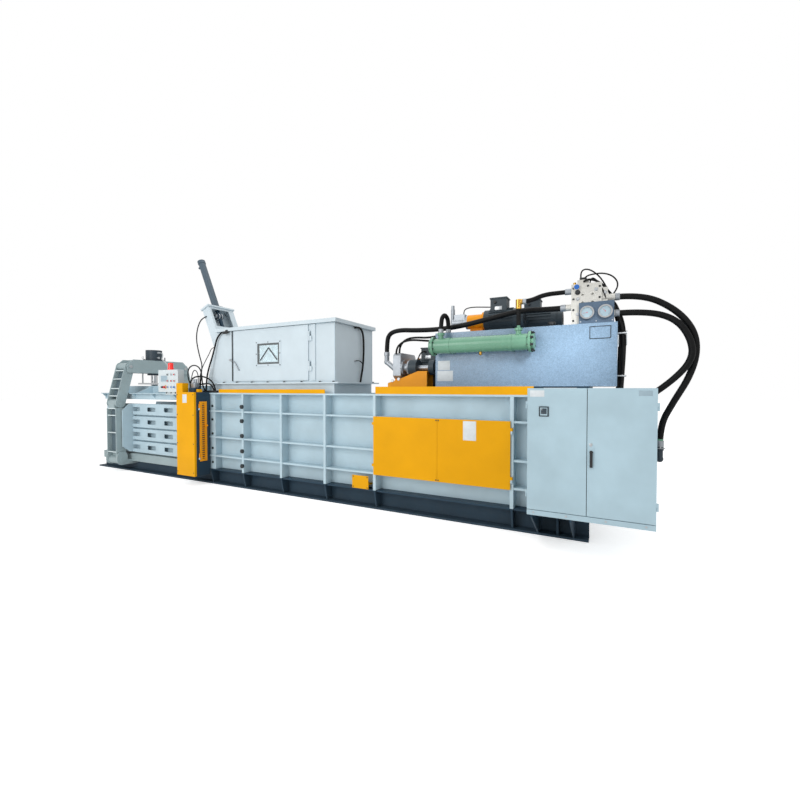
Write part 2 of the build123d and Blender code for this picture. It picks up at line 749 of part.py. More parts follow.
def ram_rod():
    """The main rod with its piston, fixed behind the ram face."""
    start = RAM_FACE + RAM_HEAD
    piston_start = BARREL_FRONT + GLAND_L + RAM_STROKE + PISTON_L
    rod = bar_x(start, piston_start + PISTON_L, 0, CHAMBER_MID, ROD_R)
    flange = bar_x(start, start + MOUNT_RING_L, 0, CHAMBER_MID, MOUNT_RING_R)
    piston = bar_x(piston_start, piston_start + PISTON_L, 0, CHAMBER_MID, PISTON_R - PIN_CLEAR)
    return join([rod, flange, piston])


def main_cylinder():
    """The barrel with gland, mounting ring, cap and the oil port elbow on its rear end."""
    barrel = bar_x(BARREL_FRONT, BARREL_REAR, 0, CHAMBER_MID, BARREL_R)
    cap = bar_x(BARREL_REAR - CAP_L, BARREL_REAR, 0, CHAMBER_MID, CAP_R)
    ring = bar_x(WALL_RIGHT, WALL_RIGHT + MOUNT_RING_L, 0, CHAMBER_MID, MOUNT_RING_R)
    body = join([barrel, cap, ring])
    body -= bar_x(BARREL_FRONT + GLAND_L, BARREL_REAR - CAP_L, 0, CHAMBER_MID, PISTON_R)
    body -= bar_x(BARREL_FRONT - 1, BARREL_FRONT + GLAND_L + 1, 0, CHAMBER_MID, ROD_R + PIN_CLEAR)
    stub = bar_x(BARREL_REAR, REAR_PORT_X, 0, CHAMBER_MID, HOSE_R)
    rise = bar_z(REAR_PORT_X, 0, CHAMBER_MID, REAR_PORT_TOP, HOSE_R)
    corner = Pos(REAR_PORT_X, 0, CHAMBER_MID) * Sphere(HOSE_R + ELBOW_ROUND)
    nut = bar_z(REAR_PORT_X, 0, REAR_PORT_TOP - 40, REAR_PORT_TOP, HOSE_R + 7)
    pipe_z = CHAMBER_MID + BARREL_R + PIPE_R + ELBOW_ROUND
    pipe = bar_x(PIPE_START, FRONT_PORT_X, 0, pipe_z, PIPE_R)
    foot = bar_z(PIPE_START, 0, CHAMBER_MID + ROD_R + PIN_CLEAR * 2, pipe_z, PIPE_R)
    front_port = bar_z(FRONT_PORT_X, 0, pipe_z, FRONT_PORT_TOP, HOSE_R)
    return join([body, stub, rise, corner, nut, front_port, pipe, foot])


# Bale exit

def exit_sills():
    """The sill plates and low bale guides below the side press panels."""
    pieces = []
    for side in (NEAR, FAR):
        web = side * (SKID_WEB_IN + SKID_WEB)
        pieces.append(block(EXIT_LEFT, TIE_LEFT, side * (SILL_OUT - SILL_T), side * SILL_OUT, SILL_LOW,
                            SILL_HIGH))
        pieces.append(block(EXIT_LEFT, TIE_LEFT, web, side * SILL_OUT, SILL_LOW, SILL_LOW + SILL_T))
        pieces.append(block(EXIT_LEFT, TIE_LEFT, side * CHAMBER_HALF, side * SKIN_OUT, SKID_TOP,
                            GUIDE_RAIL_TOP))
        pieces.append(block(EXIT_LEFT, TIE_LEFT, side * SKIN_OUT, side * SILL_OUT, SILL_HIGH - SILL_T,
                            SILL_HIGH))
    return pieces


def side_press(side):
    """Four slotted rails tied by stiffeners, swinging on a hinge at the tying frame."""
    inner, outer = CHAMBER_HALF, CHAMBER_HALF + RAIL_DEPTH
    pieces = []
    for index in range(RAIL_COUNT):
        low = RAIL_LOW + index * RAIL_PITCH
        high = low + RAIL_H
        rail = block(PANEL_LEFT, PANEL_RIGHT, side * inner, side * outer, low, high)
        rail -= block(PANEL_LEFT - 1, PANEL_RIGHT - RAIL_SKIN, side * (inner + RAIL_SKIN),
                      side * (outer - RAIL_SKIN), low + RAIL_SKIN, high - RAIL_SKIN)
        for x in SLOT_X:
            hole = block(x - SLOT_L / 2, x + SLOT_L / 2, side * (outer - RAIL_SKIN - 1), side * (outer + 1),
                         (low + high - SLOT_H) / 2, (low + high + SLOT_H) / 2)
            rail -= fillet(hole.edges().filter_by(Axis.Y), SLOT_H / 4)
        pieces.append(rail)
    for index in range(RAIL_COUNT - 1):
        z = RAIL_LOW + index * RAIL_PITCH + RAIL_H
        pieces.append(block(PANEL_LEFT, PANEL_RIGHT, side * inner, side * (inner + RAIL_SKIN * 2), z,
                            z + RAIL_PITCH - RAIL_H))
    low, high = RAIL_LOW, RAIL_LOW + (RAIL_COUNT - 1) * RAIL_PITCH + RAIL_H
    reach = side * STIFFENER_REACH
    neck = side * (outer + (STIFFENER_REACH - outer) / 3)
    outline = [(side * inner, low + RAIL_SKIN), (neck, low + RAIL_SKIN), (reach, low + STIFFENER_CHAMFER),
               (reach, high - STIFFENER_CHAMFER), (neck, high), (side * inner, high)]
    for centre in (PORTAL_X - PORTAL_W / 2 - STIFFENER_T, PORTAL_X + PORTAL_W / 2 + STIFFENER_T):
        pieces.append(cut_x(outline, centre - STIFFENER_T / 2, centre + STIFFENER_T / 2))
    pieces.append(block(PORTAL_X - PORTAL_W / 4, PORTAL_X + PORTAL_W / 4, side * inner, side * PAD_OUT,
                        CHAMBER_MID - ARM_W / 2, CHAMBER_MID + ARM_W / 2))
    pieces.append(block(PANEL_RIGHT, TIE_LEFT - PLATE_GAP * 2, side * inner, side * (inner + RAIL_SKIN), low,
                        high))
    knuckle_y = side * PANEL_HINGE_Y
    for z in PANEL_KNUCKLE_Z:
        pieces.append(bar_z(HINGE_X, knuckle_y, z, z + RAIL_H / 2, PANEL_HINGE_R))
        pieces.append(block(PANEL_RIGHT - RAIL_SKIN, HINGE_X, knuckle_y - RAIL_SKIN, knuckle_y + RAIL_SKIN, z,
                            z + RAIL_H / 2))
    panel = join(pieces)
    for z in PANEL_KNUCKLE_Z:
        panel -= bar_z(HINGE_X, knuckle_y, z - 1, z + RAIL_H / 2 + 1, PANEL_HINGE_R / 2 + PIN_CLEAR)
    return panel


def top_press():
    """The top plate with flared lips, gussets and a box girder, hinged at the tying frame."""
    low = CHAMBER_TOP + PLATE_GAP
    x0, x1 = EXIT_LEFT, PANEL_RIGHT
    girder_left = PORTAL_X - PORTAL_W / 2 - GIRDER_W
    pieces = [block(x0, x1, -LIP_WEB, LIP_WEB, low, low + PLATE_T)]
    girder = block(girder_left, x1, -GIRDER_W / 2, GIRDER_W / 2, low + PLATE_T, GIRDER_TOP)
    girder -= block(girder_left - 1, x1 - GIRDER_SKIN, -GIRDER_W / 2 + GIRDER_SKIN,
                    GIRDER_W / 2 - GIRDER_SKIN, low + PLATE_T, GIRDER_TOP - GIRDER_SKIN)
    pieces.append(girder)
    for side in (NEAR, FAR):
        pieces.append(block(x0, x1, side * (LIP_WEB - LIP_T), side * LIP_WEB, low + PLATE_T, LIP_Z))
        pieces.append(block(x0, x1, side * (LIP_WEB - LIP_T), side * LIP_OUT, LIP_Z, LIP_Z + LIP_T))
        upper = [(side * GIRDER_W / 2, low + PLATE_T), (side * (LIP_WEB - LIP_T), low + PLATE_T),
                 (side * (LIP_WEB - LIP_T), LIP_Z + LIP_T), (side * GIRDER_W / 2, GIRDER_TOP)]
        under = [(side * LIP_WEB, LIP_Z), (side * LIP_OUT, LIP_Z), (side * LIP_WEB, low + PLATE_T)]
        for x in GUSSET_X:
            pieces.append(cut_x(under, x - LIP_T / 2, x + LIP_T / 2))
            if x > girder_left:
                pieces.append(cut_x(upper, x - LIP_T / 2, x + LIP_T / 2))
        pieces.append(cut_x(upper, girder_left, girder_left + LIP_T))
        tip = [(0, low + PLATE_T), (side * (LIP_WEB - LIP_T), low + PLATE_T),
               (side * (LIP_WEB - LIP_T), LIP_Z + LIP_T), (0, LIP_Z + LIP_T)]
        pieces.append(cut_x(tip, x0, x0 + LIP_T))
    for y in TOP_KNUCKLE_Y:
        pieces.append(bar_y(HINGE_X, y - KNUCKLE_L / 2, y + KNUCKLE_L / 2, PLATE_HINGE_Z, PANEL_HINGE_R))
        pieces.append(block(x1 - GIRDER_SKIN, HINGE_X, y - KNUCKLE_L / 2, y + KNUCKLE_L / 2, low,
                            PLATE_HINGE_Z))
    plate = join(pieces)
    notch = PORTAL_W / 2 + LIP_NOTCH
    for side in (NEAR, FAR):
        plate -= block(PORTAL_X - notch, PORTAL_X + notch, side * (LIP_WEB + 1), side * (LIP_OUT + 1), low,
                       LIP_Z + LIP_T + 1)
    for y in TOP_KNUCKLE_Y:
        plate -= bar_y(HINGE_X, y - KNUCKLE_L, y + KNUCKLE_L, PLATE_HINGE_Z, PANEL_HINGE_R / 2 + PIN_CLEAR)
    return plate


# Squeeze portal

def link_outline(y0, z0, y1, z1, half):
    """A straight bar between two pins in the YZ plane, with round ends."""
    length = math.hypot(y1 - y0, z1 - z0)
    angle = math.degrees(math.atan2(z1 - z0, y1 - y0))
    return Pos((y0 + y1) / 2, (z0 + z1) / 2) * Rot(0, 0, angle) * SlotCenterToCenter(length, 2 * half)


def link_plate(y0, z0, y1, z1, half, x0, x1):
    """The same bar as a plate across X."""
    return extrude(Plane.YZ.offset(x0) * link_outline(y0, z0, y1, z1, half), x1 - x0)


def rungs(y0, z0, y1, z1, shares, x0, x1, depth):
    """Cross webs between the two plates of an arm, with a closing web along its middle."""
    length = math.hypot(y1 - y0, z1 - z0)
    tilt = math.degrees(math.atan2(z1 - z0, y1 - y0)) - 90
    made = []
    for share in shares:
        y, z = y0 + (y1 - y0) * share, z0 + (z1 - z0) * share
        made.append(Pos((x0 + x1) / 2, y, z) * Rot(tilt, 0, 0) * Box(x1 - x0, depth, RUNG_T))
    first, last = min(shares), max(shares)
    centre = (first + last) / 2
    y, z = y0 + (y1 - y0) * centre, z0 + (z1 - z0) * centre
    made.append(Pos((x0 + x1) / 2, y, z) * Rot(tilt, 0, 0) * Box(x1 - x0, ARM_WEB, length * (last - first)))
    return made


def lower_arm(side):
    """Two side plates with rungs, a full width foot barrel and a narrow knee knuckle with its pin."""
    y = side * FOOT_PIN_Y
    x0, x1 = ARM_X0, ARM_X1
    top = KNEE_PIN_Z - BOSS_R - KNUCKLE_DROP
    pieces = []
    for a, b in ((x0, x0 + PORTAL_PLATE), (x1 - PORTAL_PLATE, x1)):
        plate = link_plate(y, FOOT_PIN_Z, y, top, ARM_W / 2, a, b)
        plate -= block(a - 1, b + 1, y - ARM_W, y + ARM_W, top, KNEE_PIN_Z + ARM_W)
        pieces.append(plate)
    inner0, inner1 = x0 + PORTAL_PLATE, x1 - PORTAL_PLATE
    pieces += rungs(y, FOOT_PIN_Z, y, top, LOWER_RUNGS, inner0, inner1, ARM_W * RUNG_SHARE)
    rung_half = ARM_W * RUNG_SHARE / 2
    pieces.append(block(inner0, inner1, y - rung_half, y + rung_half, top - RUNG_T, top))
    pieces.append(block(inner0, inner1, y - ARM_WEB / 2, y + ARM_WEB / 2, FOOT_PIN_Z + WEB_START, top))
    pieces.append(bar_x(inner0, inner1, y, FOOT_PIN_Z, BOSS_R - BARREL_INSET))
    foot_top = FOOT_PIN_Z + FOOT_WEB_H
    pieces.append(block(inner0, inner1, y - ARM_WEB / 2, y + ARM_WEB / 2, FOOT_PIN_Z, foot_top))
    k0, k1 = PORTAL_X - KNUCKLE_W / 2, PORTAL_X + KNUCKLE_W / 2
    pieces.append(block(k0, k1, y - BOSS_R, y + BOSS_R, top, KNEE_PIN_Z))
    pieces.append(bar_x(k0, k1, y, KNEE_PIN_Z, BOSS_R))
    pieces.append(bar_x(x0 - KNEE_PIN_OUT, x1 + KNEE_PIN_OUT, y, KNEE_PIN_Z, PIN_R))
    arm = join(pieces)
    return arm - bar_x(x0 - 1, x1 + 1, y, FOOT_PIN_Z, PIN_R + PIN_CLEAR)


def upper_arm(side):
    """The leaning half of the arm, forked at the knee and bored for the beam pin."""
    y0, y1 = side * KNEE_PIN_Y, side * HEAD_PIN_Y
    x0, x1 = ARM_X0, ARM_X1
    pieces = []
    for a, b in ((x0, x0 + PORTAL_PLATE), (x1 - PORTAL_PLATE, x1)):
        pieces.append(link_plate(y0, KNEE_PIN_Z, y1, HEAD_PIN_Z, ARM_W / 2, a, b))
    inner0, inner1 = x0 + PORTAL_PLATE, x1 - PORTAL_PLATE
    pieces += rungs(y0, KNEE_PIN_Z, y1, HEAD_PIN_Z, UPPER_RUNGS, inner0, inner1, ARM_W * RUNG_SHARE)
    gap0, gap1 = PORTAL_X - KNUCKLE_W / 2 - KNUCKLE_GAP, PORTAL_X + KNUCKLE_W / 2 + KNUCKLE_GAP
    pieces.append(bar_x(inner0, gap0, y0, KNEE_PIN_Z, BOSS_R))
    pieces.append(bar_x(gap1, inner1, y0, KNEE_PIN_Z, BOSS_R))
    pieces.append(bar_x(inner0, inner1, y1, HEAD_PIN_Z, BOSS_R - BARREL_INSET))
    arm = join(pieces)
    arm -= bar_x(gap0, gap1, y0, KNEE_PIN_Z, BOSS_R + FORK_CLEAR)
    arm -= bar_x(x0 - 1, x1 + 1, y0, KNEE_PIN_Z, PIN_R + PIN_CLEAR)
    return arm - bar_x(x0 - 1, x1 + 1, y1, HEAD_PIN_Z, PIN_R + HEAD_PIN_CLEAR)


def exit_frame():
    """The sills of the exit and the round topped ears on the skid that carry the foot pins."""
    pieces = exit_sills()
    for side in (NEAR, FAR):
        y = side * FOOT_PIN_Y
        web = side * (SKID_WEB_IN + SKID_WEB)
        for x in (ARM_X0 - EAR_GAP - EAR_T, ARM_X1 + EAR_GAP):
            root = block(x, x + EAR_T, web, y, EAR_ROOT, FOOT_PIN_Z)
            dome = link_plate(y, FOOT_PIN_Z, y, FOOT_PIN_Z + ARM_DROP, EAR_REACH, x, x + EAR_T)
            pieces.append(root + dome)
        left, right = ARM_X0 - EAR_GAP - EAR_T, ARM_X1 + EAR_GAP + EAR_T
        pieces.append(bar_x(left - EAR_GAP, right + EAR_GAP, y, FOOT_PIN_Z, PIN_R))
    return join(pieces)


def squeeze_beam():
    """Two chamfered plates tied by end blocks and trays, with the head pins of the arms."""
    chamfer = BEAM_CHAMFER
    toe = BEAM_HALF - BEAM_TRAY
    outline = [(-BEAM_HALF + chamfer, BEAM_TOP), (BEAM_HALF - chamfer, BEAM_TOP),
               (BEAM_HALF, BEAM_TOP - chamfer), (toe, BEAM_LOW), (-toe, BEAM_LOW),
               (-BEAM_HALF, BEAM_TOP - chamfer)]
    x0, x1 = PORTAL_X - PORTAL_W / 2 - PORTAL_PLATE, PORTAL_X + PORTAL_W / 2 + PORTAL_PLATE
    pieces = [cut_x(outline, x0, x0 + PORTAL_PLATE), cut_x(outline, x1 - PORTAL_PLATE, x1)]
    inner = HEAD_PIN_Y - BOSS_R - 60
    for z in (BEAM_LOW, BEAM_TOP - BEAM_TRAY):
        pieces.append(block(x0 + PORTAL_PLATE, x1 - PORTAL_PLATE, -inner, inner, z, z + BEAM_TRAY))
    for side in (NEAR, FAR):
        pieces.append(bar_x(x0 - 6, x1 + 6, side * HEAD_PIN_Y, HEAD_PIN_Z, PIN_R))
        pieces.append(block(x0 + PORTAL_PLATE, x1 - PORTAL_PLATE, side * (inner - BEAM_TRAY), side * inner,
                            BEAM_LOW, BEAM_TOP))
    beam = join(pieces)
    beam -= bar_z(PORTAL_X, 0, BEAM_LOW - 1, BEAM_TOP + 1, SQUEEZE_NOSE_R + BORE_CLEAR)
    for y in (-GUIDE_OUT, GUIDE_OUT):
        beam -= bar_z(PORTAL_X, y, BEAM_LOW - 1, BEAM_TOP + 1, GUIDE_R + BORE_CLEAR)
    return beam


def squeeze_cylinder():
    """The upright cylinder, flanged on the beam, with its nose through both trays."""
    body = bar_z(PORTAL_X, 0, BEAM_TOP, SQUEEZE_TOP, SQUEEZE_R)
    nose = bar_z(PORTAL_X, 0, BEAM_LOW - 35, BEAM_TOP, SQUEEZE_NOSE_R)
    shape = body + nose
    return shape - bar_z(PORTAL_X, 0, BEAM_LOW - 36, SQUEEZE_TOP - 25, SQUEEZE_ROD_R + PIN_CLEAR)


def squeeze_rod():
    """The rod with its rocker foot and two guide rods that pass through the beam."""
    shoe_z = GIRDER_TOP + SHOE_GAP + SHOE_R
    rod = bar_z(PORTAL_X, 0, shoe_z, SQUEEZE_TOP - SQUEEZE_ROD_R, SQUEEZE_ROD_R)
    shoe = bar_y(PORTAL_X, -SQUEEZE_ROD_R, SQUEEZE_ROD_R, shoe_z, SHOE_R)
    foot = block(PORTAL_X - SQUEEZE_ROD_R * 1.5, PORTAL_X + SQUEEZE_ROD_R * 1.5, -GUIDE_OUT - GUIDE_R * 3,
                 GUIDE_OUT + GUIDE_R * 3, shoe_z, shoe_z + FOOT_T)
    guides = [bar_z(PORTAL_X, y, shoe_z, BEAM_TOP + FOOT_T * 3, GUIDE_R) for y in (-GUIDE_OUT, GUIDE_OUT)]
    return join([rod, shoe, foot] + guides)


# Tying frame

def tying_frame():
    """A portal round the chamber: two upright boxes, a top plate, slotted walls, hinge lugs and runners."""
    pieces = []
    holes = []
    for side in (NEAR, FAR):
        shell = block(TIE_LEFT, TIE_BOX_RIGHT, side * WALL_OUT, side * TIE_OUT, TIE_LOW, TIE_TOP)
        shell -= block(TIE_LEFT + TIE_SKIN, TIE_BOX_RIGHT - TIE_SKIN, side * (WALL_OUT - 1),
                       side * (TIE_OUT - TIE_SKIN), TIE_LOW + TIE_SKIN, TIE_TOP - TIE_SKIN)
        pieces.append(shell)
        pieces.append(block(TIE_LEFT, WALL_LEFT, side * CHAMBER_HALF, side * SKIN_OUT, SKID_TOP, TIE_TOP))
        for x in (TIE_LEFT, WALL_LEFT - TIE_RIB):
            pieces.append(block(x, x + TIE_RIB, side * SKIN_OUT, side * WALL_OUT, SKID_TOP, TIE_TOP))
        reach = SKIN_OUT if side == NEAR else TIE_OUT
        for z in WIRE_Z:
            holes.append(block(NEEDLE_X - NEEDLE_SLOT_L / 2, NEEDLE_X + NEEDLE_SLOT_L / 2,
                               side * (CHAMBER_HALF - 1), side * (reach + 1), z - NEEDLE_SLOT_H / 2,
                               z + NEEDLE_SLOT_H / 2))
        for z in PANEL_KNUCKLE_Z:
            y = side * PANEL_HINGE_Y
            pieces.append(bar_z(HINGE_X, y, z - LUG_L, z - 1, PANEL_HINGE_R))
            pieces.append(block(HINGE_X, TIE_LEFT, y - RAIL_SKIN, y + RAIL_SKIN, z - LUG_L, z - 1))
            pieces.append(bar_z(HINGE_X, y, z - LUG_L, z + RAIL_H / 2, PANEL_HINGE_R / 2))
    pieces.append(block(TIE_LEFT, WALL_LEFT, -CHAMBER_HALF, CHAMBER_HALF, CHAMBER_TOP, TIE_TOP))
    for y in TOP_KNUCKLE_Y:
        for low in (y - KNUCKLE_L / 2 - 1 - LUG_L, y + KNUCKLE_L / 2 + 1):
            pieces.append(bar_y(HINGE_X, low, low + LUG_L, PLATE_HINGE_Z, PANEL_HINGE_R))
            pieces.append(block(HINGE_X, TIE_LEFT, low, low + LUG_L, PLATE_HINGE_Z - PANEL_HINGE_R,
                                PLATE_HINGE_Z + PANEL_HINGE_R))
        pieces.append(bar_y(HINGE_X, y - KNUCKLE_L / 2 - LUG_L, y + KNUCKLE_L / 2 + LUG_L, PLATE_HINGE_Z,
                            PANEL_HINGE_R / 2))
    end = CARRIAGE_Y + CARRIAGE_W + LUG_L
    for z in (RUNNER_LOW_Z, RUNNER_HIGH_Z):
        pieces.append(bar_y(NEEDLE_X, TIE_OUT - TIE_SKIN, end, z, RUNNER_R))
    pieces.append(block(NEEDLE_X - CARRIAGE_W, NEEDLE_X + CARRIAGE_W, end, end + TIE_RIB, 0,
                        RUNNER_HIGH_Z + CARRIAGE_W))
    frame = join(pieces)
    return frame - join(holes)


def tying_cover():
    """The folded yellow cover over the near upright, with the two yellow blocks on top."""
    shell = block(TIE_LEFT, TIE_BOX_RIGHT, -TIE_OUT, -COVER_OUT, TIE_LOW, TIE_TOP)
    shell = fillet(shell.edges().filter_by(Axis.Z).sort_by(Axis.Y)[:2], 8)
    shell -= block(TIE_LEFT + COVER_T, TIE_BOX_RIGHT - COVER_T, -TIE_OUT + 1, -COVER_OUT + COVER_T,
                   TIE_LOW + COVER_T, TIE_TOP - COVER_T)
    tall = block(TIE_LEFT, TIE_LEFT + TALL_BOX_L, -TIE_OUT + TALL_BOX_W, -COVER_OUT + COVER_T, TIE_TOP,
                 TIE_TOP + TALL_BOX_H)
    small_y = -TIE_OUT + SMALL_BOX_INSET
    small = block(TIE_BOX_RIGHT - SMALL_BOX_L, TIE_BOX_RIGHT, small_y, small_y + SMALL_BOX_W, TIE_TOP,
                  TIE_TOP + SMALL_BOX_H)
    return join([shell, tall, small])


def guard_door():
    """The slotted orange guard on the edge of the upright, hinged at its outer side, with its knob."""
    x0 = TIE_BOX_RIGHT + GUARD_GAP
    y0, y1 = -TIE_OUT + GUARD_INSET, -TIE_OUT + GUARD_INSET + GUARD_WIDTH
    hinge_y = y0 - GUARD_PIN_R
    door = block(x0, x0 + GUARD_T, y0, y1, GUARD_LOW, GUARD_HIGH)
    door -= block(x0 - 1, x0 + GUARD_T + 1, y0 + GUARD_FRAME, y1 - GUARD_FRAME, GUARD_LOW + GUARD_FRAME,
                  GUARD_HIGH - GUARD_FRAME)
    parts = [door]
    span = GUARD_HIGH - GUARD_LOW - 2 * GUARD_FRAME
    for index in range(GUARD_BARS):
        z = GUARD_LOW + GUARD_FRAME + span * (index + 0.5) / GUARD_BARS
        parts.append(block(x0 + 2, x0 + GUARD_T - 4, y0 + GUARD_FRAME, y1 - GUARD_FRAME,
                           z - span / GUARD_BARS / 4, z + span / GUARD_BARS / 4))
    parts.append(bar_x(x0 + GUARD_T, x0 + GUARD_T * 2.5, y1 - GUARD_FRAME / 2, KNOB_Z, BUTTON_R))
    for z in GUARD_HINGE_Z:
        parts.append(bar_z(x0 + GUARD_T / 2, hinge_y, z, z + HINGE_LEN, GUARD_PIN_R))
        parts.append(block(x0, x0 + GUARD_T / 2 + 2, hinge_y, y0 + 2, z, z + HINGE_LEN))
    door = join(parts)
    for z in GUARD_HINGE_Z:
        door -= bar_z(x0 + GUARD_T / 2, hinge_y, z - 1, z + HINGE_LEN + 1, GUARD_PIN_R / 2 + PIN_CLEAR)
    return door


def guard_hinges():
    """The fixed hinge halves with pins of the slotted guard."""
    x = TIE_BOX_RIGHT + GUARD_GAP + GUARD_T / 2
    y = -TIE_OUT + GUARD_INSET - GUARD_PIN_R
    pieces = []
    for z in GUARD_HINGE_Z:
        pin = bar_z(x, y, z - LUG_L, z + HINGE_LEN, GUARD_PIN_R / 2)
        half = bar_z(x, y, z - LUG_L, z - 1, GUARD_PIN_R)
        foot = block(TIE_BOX_RIGHT, x, y - GUARD_PIN_R, y + GUARD_PIN_R, z - LUG_L, z - 1)
        pieces.append(join([pin, half, foot]))
    return pieces


def needle_carriage():
    """The upright carriage beam on its runners, with one wire needle at each tying height."""
    beam = block(NEEDLE_X - 45, NEEDLE_X + 45, CARRIAGE_Y, CARRIAGE_Y + CARRIAGE_W, RUNNER_LOW_Z - CARRIAGE_W,
                 RUNNER_HIGH_Z + CARRIAGE_W)
    needles = []
    for z in WIRE_Z:
        tip = SKIN_OUT + 20
        shaft = bar_y(NEEDLE_X, tip + 60, CARRIAGE_Y, z, NEEDLE_R)
        point = Pos(NEEDLE_X, tip + 30, z) * Rot(90, 0, 0) * Cone(NEEDLE_R, NEEDLE_R / 3, 60)
        needles += [shaft, point]
    carriage = join([beam] + needles)
    for z in (RUNNER_LOW_Z, RUNNER_HIGH_Z):
        carriage -= bar_y(NEEDLE_X, CARRIAGE_Y - 1, CARRIAGE_Y + CARRIAGE_W + 1, z, RUNNER_R + PIN_CLEAR)
    return carriage


# Control box

def control_box():
    """The sheet box with a screen bezel, lamps and its bracket to the tying frame."""
    body = block(DESK_LEFT, DESK_RIGHT, DESK_FRONT, DESK_BACK, DESK_LOW, DESK_HIGH)
    body = fillet(body.edges().filter_by(Axis.Y), 2 * COVER_T)
    body -= block(DESK_LEFT + COVER_T, DESK_RIGHT - COVER_T, DESK_FRONT + COVER_T, DESK_BACK - COVER_T,
                  DESK_LOW + COVER_T, DESK_HIGH - COVER_T)
    screen_x, screen_z = DESK_LEFT + SCREEN_IN, DESK_LOW + SCREEN_UP
    body += block(screen_x - SCREEN_HALF_L, screen_x + SCREEN_HALF_L, DESK_FRONT - BEZEL_T, DESK_FRONT,
                  screen_z - SCREEN_HALF_H, screen_z + SCREEN_HALF_H)
    for x, z in LAMP_PLACES:
        body += bar_y(x, DESK_FRONT - LAMP_OUT, DESK_FRONT, z, BUTTON_R)
    for x, z in [STOP_PLACE, START_PLACE, SWITCH_PLACE]:
        body += bar_y(x, DESK_FRONT - BEZEL_T, DESK_FRONT, z, BUTTON_R + BEZEL_T)
        body -= bar_y(x, DESK_FRONT - LAMP_OUT, DESK_FRONT + BUTTON_SOCKET, z, BUTTON_STEM + PIN_CLEAR * 4)
    bracket = block(DESK_LEFT + BRACKET_IN, TIE_LEFT, DESK_BACK - BRACKET_D, DESK_BACK, DESK_LOW - BRACKET_H,
                    DESK_LOW)
    hanger = block(TIE_LEFT - LUG_L, TIE_LEFT, DESK_BACK - BRACKET_D, DESK_BACK + BUTTON_SOCKET,
                   DESK_LOW - HANGER_DROP, DESK_LOW)
    return join([body, bracket, hanger])


def push_button(place, radius, reach):
    """A round button head on a short stem."""
    x, z = place
    back = DESK_FRONT - BUTTON_LIFT
    return bar_y(x, back - reach, back, z, radius) + bar_y(x, back, DESK_FRONT + STEM_DEPTH, z, BUTTON_STEM)


def selector_switch():
    """A round selector with a raised grip bar."""
    x, z = SWITCH_PLACE
    front = DESK_FRONT - 2 * BEZEL_T - 2 * COVER_T
    back = front + LAMP_OUT
    head = bar_y(x, front, back, z, BUTTON_R + BEZEL_T / 3)
    grip = block(x - GRIP_HALF, x + GRIP_HALF, front - BUTTON_LIFT, front, z - BUTTON_R, z + BUTTON_R)
    stem = bar_y(x, back, DESK_FRONT + STEM_DEPTH, z, BUTTON_STEM)
    return join([head, grip, stem])


def beacon():
    """A round warning lamp on a light base above the control box."""
    x, y = DESK_LEFT + BEACON_IN, (DESK_FRONT + DESK_BACK) / 2
    lens_low = DESK_HIGH + BEACON_BASE_H
    base = bar_z(x, y, DESK_HIGH, lens_low, BEACON_BASE_R)
    lamp = bar_z(x, y, lens_low, lens_low + BEACON_H, BEACON_R)
    return base + fillet(lamp.edges().sort_by(Axis.Z)[-1], BEACON_ROUND)


# Hopper and press tower

def hopper_outline(inset):
    """The front outline of the hopper, moved inwards by the sheet thickness."""
    return [(HOPPER_LEFT_LOW + inset, HOPPER_LOW - 1 if inset else HOPPER_LOW),
            (HOPPER_LEFT_MID + inset, HOPPER_MID_Z),
            (HOPPER_LEFT_TOP + inset, HOPPER_TOP - inset), (HOPPER_RIGHT - inset, HOPPER_TOP - inset),
            (HOPPER_RIGHT - inset, HOPPER_LOW - 1 if inset else HOPPER_LOW)]


def in_tower(shape):
    """A shape in tower coordinates, with Z along the leaning tower and its top at zero."""
    return Pos(TOWER_X, -HOPPER_HALF + TOWER_W / 2, TOWER_TOP) * Rot(0, -TOWER_TILT, 0) * shape


def local_block(x, y, z0, z1):
    """A block centred on the tower axis."""
    return Pos(0, 0, (z0 + z1) / 2) * Box(2 * x, 2 * y, z1 - z0)


